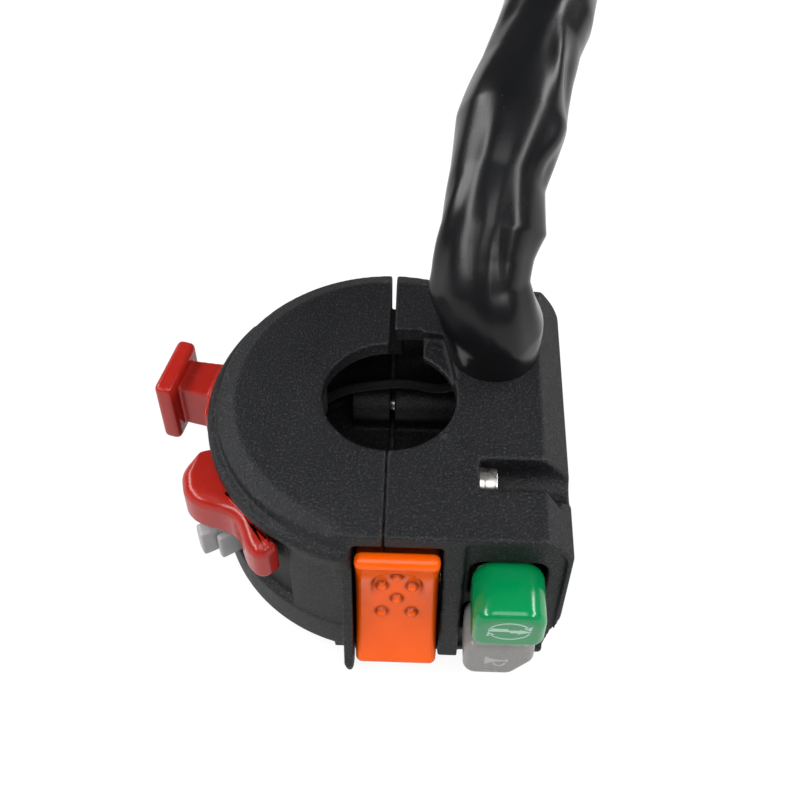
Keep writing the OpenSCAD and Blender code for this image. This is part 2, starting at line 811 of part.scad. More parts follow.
// Clamp screws with slotted heads, their washers and threads
module clamp_screws() {
    color("silver")
    at_screws() difference() {
        union() {
            rod_x(screw_tip_x, seat_x + washer_t + over, shank_r);
            rod_x(seat_x + washer_t, seat_x + washer_t + head_h, head_r);
        }
        box([seat_x + washer_t + head_h / 2, -head_r, -head_r / 8],
            [seat_x + washer_t + head_h + over, head_r, head_r / 8]);
    }
}

module clamp_washers() {
    color("gainsboro")
    at_screws() difference() {
        rod_x(seat_x, seat_x + washer_t, head_r + washer_rim);
        rod_x(seat_x - over, seat_x + washer_t + over, shank_r + seat_fit);
    }
}

module thread_inserts() {
    color("goldenrod")
    at_screws() difference() {
        rod_x(insert_x1 - insert_l, insert_x1, insert_r);
        rod_x(insert_x1 - insert_l - over, insert_x1 + over, shank_r + seat_fit);
    }
}

module cable_grommet() {
    color("#1a1a1a")
    translate([cable_x, cable_y, 0]) difference() {
        union() {
            translate([0, 0, in_z1 - seat_fit]) cylinder(h = end_wall + seat_fit, r = grommet_r);
            translate([0, 0, in_z1 - seat_fit - grommet_flange_t])
                cylinder(h = grommet_flange_t, r = grommet_flange_r);
        }
        translate([0, 0, -far]) cylinder(h = 2 * far, r = grommet_hole_r);
    }
}

module inner_wires() {
    color("firebrick")
    for (p = inner_routes) {
        tube(p, wire_r, inner_sides, inner_steps, unit(p[1] - p[0]), inner_up, [1, 0.1, 0]);
    }
}

// Light rocker, turned about its pivot
module at_light() {
    translate([light_x, light_y, light_z]) rotate([-light_tilt, 0, 0]) children();
}

module light_profile() {
    chord = light_half - light_land;
    dip_r = (pow(chord, 2) + pow(light_dip, 2)) / (2 * light_dip);
    edge = light_land / 2;
    heel = light_half - light_heel;
    stem = light_stem_w / 2;
    difference() {
        polygon([[-light_back, -heel], [-light_tip + light_end, -light_half],
                 [-light_tip + edge, -light_half], [-light_tip, edge - light_half],
                 [-light_tip, light_half - edge], [-light_tip + edge, light_half],
                 [-light_tip + light_end, light_half], [-light_back, heel], [-light_back, stem],
                 [light_stem, stem], [light_stem, -stem], [-light_back, -stem]]);
        translate([-light_tip + light_dip - dip_r, 0]) circle(dip_r, $fn = 256);
    }
}

module light_rocker() {
    color("#ff5a00")
    at_light() difference() {
        extrude_x(-light_w / 2, light_w / 2) light_profile();
        rod_x(-far, far, light_pin_r + run_fit);
        rod_y(light_pin_r + plunger_wall, far, plunger_r + run_fit);
    }
}

module light_pin() {
    color("lightgray")
    translate([0, light_y, light_z]) rod_x(light_frame_x0, light_frame_x1, light_pin_r);
}

module light_frame() {
    color("#3a3a3c")
    difference() {
        union() {
            for (x = [light_frame_x0, rec_x1]) {
                box([x, light_y - light_cheek_lip, light_z - light_cheek_h / 2],
                    [x + light_cheek_t, light_base_y1, light_z + light_cheek_h / 2]);
            }
            box([light_frame_x0, light_base_y0, light_z - light_base_h / 2],
                [light_frame_x1, light_base_y1, light_z + light_base_h / 2]);
        }
        translate([0, light_y, light_z]) rod_x(-far, far, light_pin_r + seat_fit);
    }
}

module light_plunger() {
    color("silver")
    at_light() {
        rod_y(light_plunger_n - light_spring_l, light_plunger_n - plunger_r, plunger_r);
        translate([0, light_plunger_n - plunger_r, 0]) sphere(plunger_r);
    }
}

module light_spring() {
    color("gray")
    at_light() difference() {
        rod_y(light_pin_r + plunger_wall + spring_play, light_plunger_n - light_spring_l,
              plunger_r - spring_play);
        rod_y(0, far, plunger_r - spring_play - spring_t);
    }
}

module light_contact() {
    color("goldenrod")
    box([light_x - light_contact_w / 2, light_base_y0 - light_contact_t, light_z - light_contact_h / 2],
        [light_x + light_contact_w / 2, light_base_y0, light_z + light_contact_h / 2]);
}

// Push buttons
module push_cap(w, h, out, z, low_corner, set) {
    front = -front_d - out + push_round;
    x0 = push_round - w / 2 - set;
    x1 = w / 2 - push_round - set;
    z1 = h / 2 - push_round;
    low = low_corner > 0 ? [[x1 - low_corner, -z1], [x1, low_corner - z1]] : [[x1, -z1]];
    spots = concat([[x0, z1], [x1, z1], [x0, -z1]], low);
    translate([push_x, 0, z]) difference() {
        union() {
            hull() {
                for (p = spots) {
                    translate([p[0], front, p[1]]) rotate([90, 0, 0]) sphere(push_round, $fn = cap_fn);
                    translate([p[0], 0, p[1]]) rod_y(tab_y0 - 0.2, tab_y1, push_round, $fn = cap_fn);
                }
            }
            box([x0, tab_y0, -h / 2 - tab], [x1, tab_y1, h / 2 + tab]);
            rod_y(tab_y1 - over, stem_y1, stem_r);
        }
        rod_y(tab_y0, far, push_spring_r + run_fit);
    }
}

module push_spring(z) {
    translate([push_x, 0, z]) difference() {
        rod_y(tab_y0 + 0.2, push_base_y0, push_spring_r);
        rod_y(-far, far, push_spring_in);
    }
}

module push_contact(z) {
    translate([push_x, 0, z]) difference() {
        box([-contact_w / 2, stem_y1, -contact_h / 2], [contact_w / 2, stem_y1 + contact_t, contact_h / 2]);
        rod_y(-far, far, push_spring_r + run_fit);
    }
}

module start_button() {
    color("#00874a") push_cap(start_w, start_h, start_out, start_z, 0, 0);
}

module start_spring() {
    color("gray") push_spring(start_z);
}

module start_contact() {
    color("goldenrod") push_contact(start_z);
}

module horn_button() {
    color("#8c8a87") push_cap(horn_w, horn_h, horn_out, horn_z, horn_cut, horn_set);
}

module horn_spring() {
    color("gray") push_spring(horn_z);
}

module horn_contact() {
    color("goldenrod") push_contact(horn_z);
}

module at_rivets() {
    for (z = push_places, x = [-rivet_step, rivet_step]) {
        translate([push_x + x, 0, z]) children();
    }
}

module push_base() {
    color("#6b4a2b")
    difference() {
        union() {
            box([push_x - push_base_w / 2, push_base_y0, in_z0 + seat_gap],
                [push_x + push_base_w / 2, push_base_y1, push_base_z1]);
            for (z = push_places) {
                translate([push_x, 0, z]) rod_y(push_base_y0 - push_post_l, push_base_y0 + over, push_post_r);
            }
        }
        at_rivets() rod_y(-far, far, rivet_r * 0.7 + seat_fit);
    }
}

module push_terminals() {
    color("goldenrod")
    at_rivets() {
        rod_y(push_base_y0 - rivet_h, push_base_y0, rivet_r);
        rod_y(push_base_y0 - rivet_h / 2, push_base_y1 + lug_l, rivet_r * 0.7);
    }
}

// Stop knob, pushed in along its stem
module stop_knob() {
    color("#be2319")
    rotate([0, 0, stop_az]) translate([0, 0, stop_z]) {
        hull() {
            for (x = [stop_head_r0, stop_head_r1 - 2 * stop_edge], y = [-1, 1], z = [-1, 1]) {
                translate([x + stop_edge, y * (stop_head_w / 2 - stop_edge),
                           z * (stop_head_h / 2 - stop_edge)])
                    sphere(stop_edge, $fn = cap_fn);
            }
        }
        translate([0, 0, -stop_stem_h / 2]) linear_extrude(stop_stem_h)
            polygon([[stop_r0, -stop_stem_w / 2 - stop_flare], [stop_head_r0 + stop_edge, -stop_stem_w / 2],
                     [stop_head_r0 + stop_edge, stop_stem_w / 2], [stop_r0, stop_stem_w / 2]]);
        intersection() {
            translate([0, 0, -stop_flange_h / 2]) difference() {
                cylinder(h = stop_flange_h, r = stop_r0 + stop_flange_t);
                translate([0, 0, -1]) cylinder(h = stop_flange_h + 2, r = stop_r0);
            }
            box([0, -stop_flange_w / 2, -far], [far, stop_flange_w / 2, far]);
        }
        box([stop_bar_r0, -stop_bar_w / 2, -stop_bar_h / 2],
            [stop_r0 + stop_flange_t / 2, stop_bar_w / 2, stop_bar_h / 2]);
    }
}

module stop_spring() {
    color("gray")
    rotate([0, 0, stop_az]) translate([0, 0, stop_z]) difference() {
        rod_x(stop_frame_r1, stop_r0 - stop_spring_gap, stop_spring_r);
        rod_x(0, far, stop_spring_in);
    }
}

module stop_frame() {
    color("#3a3a3c")
    rotate([0, 0, stop_az]) difference() {
        box([stop_frame_r0, -stop_frame_w / 2, stop_z - stop_bar_h / 2 - gap - stop_frame_foot],
            [stop_frame_r1, stop_frame_w / 2, in_z1 - seat_gap]);
        box([0, -stop_bar_w / 2 - gap, stop_z - stop_bar_h / 2 - gap],
            [far, stop_bar_w / 2 + gap, stop_z + stop_bar_h / 2 + gap]);
    }
}

module stop_contacts() {
    color("goldenrod")
    rotate([0, 0, stop_az]) for (y = [-stop_frame_w / 2 - stop_contact_t, stop_frame_w / 2]) {
        box([stop_frame_r0 + stop_contact_in, y, stop_z - stop_contact_h / 2],
            [stop_frame_r1 - stop_contact_in, y + stop_contact_t, stop_z + stop_contact_h / 2]);
    }
}

// Kill rocker, turned about its pivot
module at_kill() {
    translate([kill_x, kill_y, 0]) rotate([0, 0, kill_face_az + kill_tilt]) children();
}

module kill_profile() {
    n0 = kill_tip_n - kill_round_back;
    n1 = kill_tip_n - kill_round_front - kill_front_drop;
    to_round = [n0, kill_tip_u0] - kill_heel;
    slant = atan2(to_round[1], to_round[0]) - asin(kill_round_back / norm(to_round));
    slant_l = sqrt(pow(norm(to_round), 2) - pow(kill_round_back, 2));
    difference() {
        union() {
            polygon([[kill_sole[0], 0], kill_sole, kill_heel,
                     kill_heel + slant_l * [cos(slant), sin(slant)],
                     [kill_tip_n, kill_tip_u0], [kill_tip_n - kill_front_drop, kill_tip_u1],
                     [n1, kill_tip_u1 + kill_round_front], [kill_base_n, kill_front], [kill_base_n, 0]]);
            translate([n0, kill_tip_u0]) circle(kill_round_back);
            translate([n1, kill_tip_u1]) circle(kill_round_front);
        }
        translate([kill_tip_n - kill_dip + kill_saddle_r, (kill_tip_u0 + kill_tip_u1) / 2])
            circle(kill_saddle_r, $fn = 128);
    }
    translate([0, -kill_neck]) square([kill_base_n + over, 2 * kill_neck]);
    circle(kill_hub_r);
    translate([-kill_stem, -kill_stem_w / 2]) square([kill_stem, kill_stem_w]);
}

module kill_rocker() {
    color("#be2319")
    at_kill() difference() {
        translate([0, 0, kill_z0]) linear_extrude(kill_w) kill_profile();
        cylinder(h = far, r = kill_pin_r + run_fit);
        translate([0, 0, row_z]) rod_x(-far, -kill_pin_r - kill_wall, kill_plunger_r + run_fit);
    }
}

module kill_pin() {
    color("lightgray")
    translate([kill_x, kill_y, kill_z0 - gap - kill_frame_foot])
        cylinder(h = kill_w + 2 * gap + 2 * kill_frame_foot, r = kill_pin_r);
}

module kill_frame() {
    az0 = kill_az - kill_frame_spread;
    az1 = kill_az + kill_frame_spread;
    color("#3a3a3c")
    difference() {
        union() {
            sector(kill_frame_r0, kill_frame_r1, az0, az1, kill_z1 + gap, in_z1 - seat_gap);
            sector(kill_frame_r0, kill_frame_r1, az0, az1, kill_z0 - gap - kill_frame_foot, kill_z0 - gap);
            sector(kill_frame_r0, kill_frame_r0 + kill_frame_wall, az0, az1,
                   kill_z0 - gap - 0.5, kill_z1 + gap + 0.5);
        }
        translate([kill_x, kill_y, kill_z0 - gap - kill_frame_foot - over])
            cylinder(h = kill_w + 2 * gap + 2 * kill_frame_foot + over, r = kill_pin_r + seat_fit);
    }
}

module kill_plunger() {
    color("silver")
    at_kill() translate([0, 0, row_z]) {
        rod_x(-kill_plunger_n + kill_plunger_r, -kill_pin_r - kill_wall - spring_play, kill_plunger_r);
        translate([-kill_plunger_n + kill_plunger_r, 0, 0]) sphere(kill_plunger_r);
    }
}

module kill_contact() {
    r0 = kill_frame_r0 + kill_frame_wall;
    color("goldenrod")
    sector(r0, r0 + kill_contact_t, kill_az - kill_contact_az, kill_az + kill_contact_az,
           row_z - kill_contact_h / 2, row_z + kill_contact_h / 2);
}

// Turn slider, carried round the drum
module turn_knob() {
    z0 = turn_z - turn_h / 2;
    z1 = turn_z + turn_h / 2;
    r0 = drum_r + turn_float;
    color("#a5a5a3") {
        sector(turn_carriage_r1 + seat_fit, r0 + over, turn_az - turn_neck_az, turn_az + turn_neck_az,
               turn_z - turn_neck_h / 2, turn_z + turn_neck_h / 2);
        sector(r0, r0 + turn_base_out, turn_az - turn_knob_az, turn_az + turn_knob_az, z0, z1);
        sector(r0 + over, drum_r + turn_out, turn_az - turn_rib_az, turn_az + turn_rib_az, z0, z1);
        for (a = [-turn_side_az, turn_side_az]) {
            sector(r0 + over, drum_r + turn_out - turn_side_drop, turn_az + a - turn_side_rib_az,
                   turn_az + a + turn_side_rib_az, z0, z1);
        }
    }
}

module turn_carriage() {
    color("#77766f")
    sector(turn_carriage_r0, turn_carriage_r1, turn_az - turn_carriage_az, turn_az + turn_carriage_az,
           turn_z - turn_h / 2 + turn_slack, turn_z + turn_h / 2 - turn_slack);
}

module at_ball() {
    rotate([0, 0, turn_az]) translate([0, 0, turn_z]) children();
}

module turn_board() {
    color("#6b4a2b")
    difference() {
        sector(turn_board_r0, turn_board_r1, turn_az - turn_board_az, turn_az + turn_board_az,
               in_z0 + seat_gap, turn_z + turn_h / 2 - turn_board_drop);
        at_ball() rod_x(turn_board_r0 + turn_board_floor, far, ball_r + run_fit);
    }
}

module turn_ball() {
    color("silver") at_ball() translate([ball_reach, 0, 0]) sphere(ball_r);
}

module turn_spring() {
    color("gray")
    at_ball() difference() {
        rod_x(turn_board_r0 + turn_board_floor, ball_reach - ball_r, ball_r - spring_play);
        rod_x(0, far, ball_r - spring_play - spring_t);
    }
}

// Harness and its plug, which lies on the floor
module harness_sleeve() {
    color("#151517") tube(route, sleeve_r, route_sides, route_steps, route_start, route_stop, [1, 0, 0]);
}

module at_terminals() {
    for (c = plug_cols, r = plug_rows) {
        translate([0, sleeve_end[1] + c * plug_pitch, plug_z + r * plug_row_step]) children();
    }
}

module at_wires() {
    for (c = plug_cols, r = plug_rows) {
        translate([0, sleeve_end[1] + c * wire_r * 3.5, plug_z + r * wire_r * 4]) children();
    }
}

module harness_wires() {
    color("steelblue") at_wires() rod_x(wire_x0, sleeve_end[0], wire_r);
}

module plug_body() {
    color("ivory")
    difference() {
        union() {
            box([plug_x0, sleeve_end[1] - plug_w / 2, 0], [wire_x0, sleeve_end[1] + plug_w / 2, plug_h]);
            box([plug_x0 + latch_set, sleeve_end[1] - latch_w / 2, plug_h - over],
                [plug_x0 + latch_set + latch_l, sleeve_end[1] + latch_w / 2, plug_h + latch_t]);
        }
        at_terminals() box([plug_x0 - over, -terminal_w / 2 - terminal_gap, -terminal_h / 2 - terminal_gap],
                           [terminal_x1, terminal_w / 2 + terminal_gap, terminal_h / 2 + terminal_gap]);
    }
}

module plug_terminals() {
    color("goldenrod")
    at_terminals() difference() {
        box([plug_x0 + terminal_set, -terminal_w / 2, -terminal_h / 2],
            [terminal_x1, terminal_w / 2, terminal_h / 2]);
        box([plug_x0, terminal_t - terminal_w / 2, terminal_t - terminal_h / 2],
            [terminal_x1 - terminal_back, terminal_w / 2 - terminal_t, terminal_h / 2 - terminal_t]);
    }
}

left_shell();
right_shell();
clamp_screws();
clamp_washers();
thread_inserts();
cable_grommet();
inner_wires();
light_rocker();
light_pin();
light_frame();
light_plunger();
light_spring();
light_contact();
start_button();
start_spring();
start_contact();
horn_button();
horn_spring();
horn_contact();
push_base();
push_terminals();
stop_knob();
stop_spring();
stop_frame();
stop_contacts();
kill_rocker();
kill_pin();
kill_frame();
kill_plunger();
kill_contact();
turn_knob();
turn_carriage();
turn_board();
turn_ball();
turn_spring();
harness_sleeve();
harness_wires();
plug_body();
plug_terminals();
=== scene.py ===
"""Looks of the handlebar switch cluster: camera, cord, controls, casing, finishes and studio."""

import json
import math

import bmesh
import bpy
import numpy as np
from mathutils import Matrix, Vector


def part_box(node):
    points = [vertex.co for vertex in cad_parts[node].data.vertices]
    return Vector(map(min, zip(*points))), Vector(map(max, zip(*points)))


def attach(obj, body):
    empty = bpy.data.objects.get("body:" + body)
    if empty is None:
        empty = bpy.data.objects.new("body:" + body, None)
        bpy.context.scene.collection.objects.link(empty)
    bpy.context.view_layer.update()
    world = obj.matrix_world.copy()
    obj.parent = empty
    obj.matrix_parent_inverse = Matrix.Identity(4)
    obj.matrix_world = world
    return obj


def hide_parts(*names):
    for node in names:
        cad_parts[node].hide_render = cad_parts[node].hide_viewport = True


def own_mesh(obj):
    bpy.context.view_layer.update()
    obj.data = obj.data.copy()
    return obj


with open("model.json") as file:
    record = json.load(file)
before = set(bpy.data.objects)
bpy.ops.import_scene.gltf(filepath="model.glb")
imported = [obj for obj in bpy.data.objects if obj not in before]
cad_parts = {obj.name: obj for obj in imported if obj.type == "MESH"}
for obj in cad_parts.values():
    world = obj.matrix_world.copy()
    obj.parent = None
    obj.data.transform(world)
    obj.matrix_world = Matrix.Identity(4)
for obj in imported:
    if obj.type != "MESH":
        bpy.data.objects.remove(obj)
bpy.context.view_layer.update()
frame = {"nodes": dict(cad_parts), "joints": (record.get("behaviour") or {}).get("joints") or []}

# Meshes are worked out in millimetres and stored in metres
MM = 0.001
nodes = frame["nodes"]
joints = {j["name"]: j for j in frame["joints"]}
# Sockets of the node that stretches a range of values to another
RANGE_SOCKETS = ("From Min", "From Max", "To Min", "To Max")


def new_object(name, data):
    """An object that holds data, linked to the scene."""
    made = bpy.data.objects.new(name, data)
    bpy.context.scene.collection.objects.link(made)
    return made


# Camera

IMAGE_SIDE = 800
FOCAL_PX = 1184.5
SENSOR_WIDTH = 36.0
CAMERA_DISTANCE = 0.19468
CAMERA_ELEVATION = 51.52
CAMERA_AZIMUTH = 1.91
CAMERA_ROLL = 0.14
SHIFT_PX = (10.57, -5.46)
CLIP = (0.005, 20)


def make_camera():
    """The photograph's camera, aimed at the middle of the bore in the upper end face."""
    aim = Vector((0, 0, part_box("right_shell")[1].z))
    rise = math.radians(CAMERA_ELEVATION)
    turn = math.radians(CAMERA_AZIMUTH)
    roll = math.radians(CAMERA_ROLL)
    back = Vector((math.sin(turn) * math.cos(rise), -math.cos(turn) * math.cos(rise), math.sin(rise)))
    level = Vector((math.cos(turn), math.sin(turn), 0))
    upright = back.cross(level)
    right = level * math.cos(roll) + upright * math.sin(roll)
    up = upright * math.cos(roll) - level * math.sin(roll)
    data = bpy.data.cameras.new("camera")
    data.sensor_width = SENSOR_WIDTH
    data.lens = FOCAL_PX * SENSOR_WIDTH / IMAGE_SIDE
    data.shift_x = SHIFT_PX[0] / IMAGE_SIDE
    data.shift_y = SHIFT_PX[1] / IMAGE_SIDE
    data.clip_start, data.clip_end = CLIP
    camera = new_object("camera", data)
    facing = Matrix((right, up, back)).transposed().to_4x4()
    camera.matrix_world = Matrix.Translation(aim + back * CAMERA_DISTANCE) @ facing
    bpy.context.scene.camera = camera


make_camera()


# Materials

def link(tree, source, target):
    tree.links.new(source, target)


class Finish:
    """A material with a principled shader, and short ways to add the nodes that feed it."""

    def __init__(self, name, **constants):
        self.material = bpy.data.materials.new(name)
        self.material.use_nodes = True
        self.tree = self.material.node_tree
        self.shader = self.tree.nodes["Principled BSDF"]
        for socket, value in constants.items():
            self.shader.inputs[socket.replace("_", " ")].default_value = value
        self.coords = self.add("ShaderNodeTexCoord").outputs["Object"]

    def add(self, kind, **settings):
        """A new node of a kind, with its settings."""
        node = self.tree.nodes.new(kind)
        for key, value in settings.items():
            setattr(node, key, value)
        return node

    def noise(self, size_mm, detail=2.0, rough=0.5, vector=None):
        """Noise whose features are about size_mm across, from 0 to 1."""
        node = self.add("ShaderNodeTexNoise")
        node.inputs["Scale"].default_value = 1 / (size_mm * MM)
        node.inputs["Detail"].default_value = detail
        node.inputs["Roughness"].default_value = rough
        link(self.tree, vector or self.coords, node.inputs["Vector"])
        return node.outputs["Fac"]

    def span(self, value, low, high, to_low=0.0, to_high=1.0):
        """value, stretched from low..high to to_low..to_high and held there."""
        node = self.add("ShaderNodeMapRange")
        for socket, number in zip(RANGE_SOCKETS, (low, high, to_low, to_high)):
            node.inputs[socket].default_value = number
        link(self.tree, value, node.inputs["Value"])
        return node.outputs["Result"]

    def math(self, operation, a, b):
        """a and b, each a number or a socket, put together by a sum, product or the like."""
        node = self.add("ShaderNodeMath", operation=operation)
        for socket, value in zip(node.inputs, (a, b)):
            if isinstance(value, (int, float)):
                socket.default_value = value
            else:
                link(self.tree, value, socket)
        return node.outputs["Value"]

    def mix(self, factor, a, b):
        """Colour a where factor is 0 and b where it is 1. A colour is a triple or a socket."""
        node = self.add("ShaderNodeMix", data_type="RGBA")
        link(self.tree, factor, node.inputs["Factor"])
        for socket, value in ((node.inputs[6], a), (node.inputs[7], b)):
            if isinstance(value, tuple):
                socket.default_value = (*value, 1)
            else:
                link(self.tree, value, socket)
        return node.outputs[2]

    def edges(self, low=0.52, high=0.6):
        """1 on worn outer edges, 0 elsewhere."""
        pointiness = self.add("ShaderNodeNewGeometry").outputs["Pointiness"]
        return self.span(pointiness, low, high)

    def colour(self, socket):
        """Feeds the base colour."""
        link(self.tree, socket, self.shader.inputs["Base Color"])

    def roughness(self, socket):
        """Feeds the roughness of the surface and of its clear coat."""
        link(self.tree, socket, self.shader.inputs["Roughness"])
        link(self.tree, socket, self.shader.inputs["Coat Roughness"])

    def bump(self, *layers):
        """layers are (height socket, depth in mm, strength), the broadest first."""
        normal = None
        for height, depth_mm, strength in layers:
            node = self.add("ShaderNodeBump")
            node.inputs["Strength"].default_value = strength
            node.inputs["Distance"].default_value = depth_mm * MM
            link(self.tree, height, node.inputs["Height"])
            if normal is not None:
                link(self.tree, normal, node.inputs["Normal"])
            normal = node.outputs["Normal"]
        link(self.tree, normal, self.shader.inputs["Normal"])
        link(self.tree, normal, self.shader.inputs["Coat Normal"])


def shade(colour, factor):
    """A colour made darker or paler by a factor."""
    return tuple(min(1.0, c * factor) for c in colour)


def sparked_plastic(name, colour, pale):
    """Black moulded plastic with a fine spark-eroded grain speckled with painted pale glints, and paler
    rubbed edges.
    """
    f = Finish(name, Specular_IOR_Level=0.0, Coat_Weight=0.5)
    grain = f.noise(0.4, 2, 0.6)
    fine = f.noise(0.2, 1, 0.5)
    cloud = f.noise(9, 3, 0.55)
    base = f.mix(cloud, shade(colour, 0.82), shade(colour, 1.2))
    # Painted glints: pale specks on the grain stand in for light glancing off it
    glints = f.span(grain, 0.53, 0.72, 0, 0.8)
    speckled = f.mix(glints, base, pale)
    scuffs = f.math("MULTIPLY", f.edges(), f.span(f.noise(2.2, 4, 0.65), 0.42, 0.7, 0.1, 0.75))
    f.colour(f.mix(scuffs, speckled, shade(pale, 1.5)))
    f.roughness(f.span(cloud, 0.25, 0.75, 0.36, 0.48))
    f.bump((grain, 0.16, 1.0), (fine, 0.06, 0.7))
    return f.material


def polished_plastic(name, colour, rough=0.16, coat=0.7, depth=1.0, glow=0.0, painted_shade=None):
    """Glossy moulded plastic with faint flow marks, smudges and rubbed patches.
    depth is how far the flow marks differ, and the last argument names the attribute that holds painted
    shade, which darkens the colour in the recesses."""
    f = Finish(name, Specular_IOR_Level=0.0, Coat_Weight=coat, Subsurface_Weight=glow,
               Subsurface_Scale=GLOW_DEPTH * MM, Subsurface_Radius=GLOW_REACH)
    cloud = f.noise(6, 3, 0.5)
    smudge = f.noise(2.4, 4, 0.6)
    base = f.mix(cloud, shade(colour, 1 - 0.14 * depth), shade(colour, 1 + 0.08 * depth))
    rubbed = f.span(smudge, 0.5, 0.8, 0, 0.2)
    tint = f.mix(rubbed, base, tuple(0.85 * c + 0.04 for c in colour))
    # Painted shade: the colour darkens where the attribute of painted shade is painted, in the recesses
    # where shade falls
    if painted_shade:
        painted = f.add("ShaderNodeAttribute", attribute_name=painted_shade).outputs["Fac"]
        tint = f.mix(painted, tint, shade(colour, 0.25))
    f.colour(tint)
    f.roughness(f.span(smudge, 0.3, 0.75, rough, rough + 0.12))
    f.bump((f.noise(1.6, 2, 0.5), 0.02, 0.08), (f.noise(0.3, 1, 0.5), 0.004, 0.05))
    return f.material


def satin_plastic(name, colour, rough=0.4):
    """Plain moulded plastic of the inner pieces and the plug."""
    f = Finish(name)
    cloud = f.noise(5, 3, 0.55)
    grain = f.noise(0.35, 2, 0.5)
    f.colour(f.mix(cloud, shade(colour, 0.85), shade(colour, 1.12)))
    f.roughness(f.span(grain, 0.3, 0.7, rough - 0.05, rough + 0.1))
    f.bump((grain, 0.02, 0.3))
    return f.material


def metal(name, colour, rough=0.28):
    """Plated metal with fine turning marks and dull patches."""
    f = Finish(name, Metallic=1.0)
    patch = f.noise(1.4, 4, 0.6)
    marks = f.noise(0.12, 2, 0.5)
    f.colour(f.mix(patch, shade(colour, 0.72), shade(colour, 1.1)))
    f.roughness(f.span(patch, 0.3, 0.7, rough - 0.1, rough + 0.15))
    f.bump((marks, 0.01, 0.25))
    return f.material


def laminate(name, colour):
    """Pressed paper board that carries the contacts."""
    f = Finish(name)
    fibres = f.noise(0.5, 5, 0.7)
    f.colour(f.mix(fibres, shade(colour, 0.65), shade(colour, 1.35)))
    f.roughness(f.span(fibres, 0.3, 0.7, 0.45, 0.65))
    f.bump((fibres, 0.02, 0.3))
    return f.material


def sleeve_plastic(name, colour):
    """Soft black sleeve with lines along its length from the die."""
    f = Finish(name, Specular_IOR_Level=0.24)
    along = f.add("ShaderNodeAttribute", attribute_name=STREAK).outputs["Vector"]
    lines = f.noise(1000, 3, 0.6, along)
    cloud = f.noise(11, 3, 0.5)
    dust = f.span(f.noise(0.5, 2, 0.5), 0.74, 0.8, 0, 0.25)
    base = f.mix(cloud, shade(colour, 0.8), shade(colour, 1.25))
    f.colour(f.mix(dust, base, (0.16, 0.16, 0.17)))
    f.roughness(f.span(cloud, 0.3, 0.7, 0.2, 0.3))
    f.bump((f.noise(5, 2, 0.5), 0.25, 0.12), (lines, 0.05, 0.25))
    return f.material


def wire_plastic(name, colours):
    """Insulation of the bundle's wires, each row and column of its own colour."""
    f = Finish(name, Roughness=0.35)
    place = f.add("ShaderNodeSeparateXYZ")
    link(f.tree, f.coords, place.inputs["Vector"])
    lo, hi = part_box("harness_wires")
    columns = len(colours) // 2
    step = (hi.y - lo.y) / columns
    upper = f.math("GREATER_THAN", place.outputs["Z"], (lo.z + hi.z) / 2)
    rows = []
    for row in (colours[:columns], colours[columns:]):
        picked = row[0]
        for k, colour in enumerate(row[1:], 1):
            past = f.math("GREATER_THAN", place.outputs["Y"], lo.y + k * step)
            picked = f.mix(past, picked, colour)
        rows.append(picked)
    streaks = f.span(f.noise(1.2, 3, 0.6), 0.3, 0.7, 0, 0.3)
    f.colour(f.mix(streaks, f.mix(upper, *rows), (0.02, 0.02, 0.02)))
    f.bump((f.noise(0.4, 2, 0.5), 0.02, 0.2))
    return f.material


# Attributes painted on the sleeve and on the light rocker; the rocker's holds painted shade round its dots
# and along the dish's rim
STREAK = "streak"
PAINTED_SHADE = "painted_shade"
# Light under the orange surface: how deep it goes in mm, and its share for red, green and blue
GLOW_DEPTH = 1.2
GLOW_REACH = (1.0, 0.35, 0.1)
BLACK = (0.008, 0.0083, 0.0095)
# Pale colour of the casing's painted glints on its grain, and paler still on its rubbed edges
PALE_GLINT_AND_SCUFF = (0.046, 0.046, 0.05)
RED = (0.37, 0.014, 0.008)
ORANGE = (1.0, 0.115, 0.002)
GREEN = (0.0, 0.235, 0.068)
GREY = (0.25, 0.243, 0.235)
LIGHT_GREY = (0.36, 0.36, 0.36)
STEEL = (0.62, 0.6, 0.56)
BRASS = (0.78, 0.55, 0.22)
WIRES = ((0.02, 0.02, 0.02), (0.5, 0.02, 0.01), (0.02, 0.12, 0.4),
         (0.6, 0.42, 0.02), (0.03, 0.28, 0.06), (0.55, 0.55, 0.53))

finish = {
    "drum_plastic": sparked_plastic("drum plastic", BLACK, PALE_GLINT_AND_SCUFF),
    "block_plastic": sparked_plastic("block plastic", shade(BLACK, 0.9), PALE_GLINT_AND_SCUFF),
    "steel": metal("zinc steel", STEEL),
    "brass": metal("brass", BRASS, 0.32),
    "rubber": satin_plastic("rubber", (0.018, 0.018, 0.018), 0.6),
    "wire": satin_plastic("dark insulation", (0.02, 0.018, 0.018), 0.3),
    # The orange plastic is darkened by the painted shade on the light rocker
    "orange": polished_plastic("orange plastic", ORANGE, 0.08, 0.6, 1.0, 0.12, PAINTED_SHADE),
    "green": polished_plastic("green plastic", GREEN, 0.12, 1.0),
    "grey": polished_plastic("grey plastic", GREY, 0.24),
    "light_grey": polished_plastic("light grey plastic", LIGHT_GREY, 0.28),
    "red": polished_plastic("red plastic", RED, 0.17, 0.75),
    "frame_plastic": satin_plastic("frame plastic", (0.03, 0.03, 0.03), 0.45),
    # The board's colour is made dark as painted shade, for the gap round the green cap where it shows
    "board": laminate("board", (0.05, 0.03, 0.018)),
    "sleeve": sleeve_plastic("sleeve plastic", (0.006, 0.0062, 0.007)),
    "plug": satin_plastic("natural nylon", (0.72, 0.69, 0.6), 0.42),
    "bundle": wire_plastic("coloured insulation", WIRES),
    "print": satin_plastic("white print", (0.42, 0.6, 0.5), 0.5),
    "pale_print": satin_plastic("pale print", (0.42, 0.42, 0.41), 0.5),
}


# Making of pieces

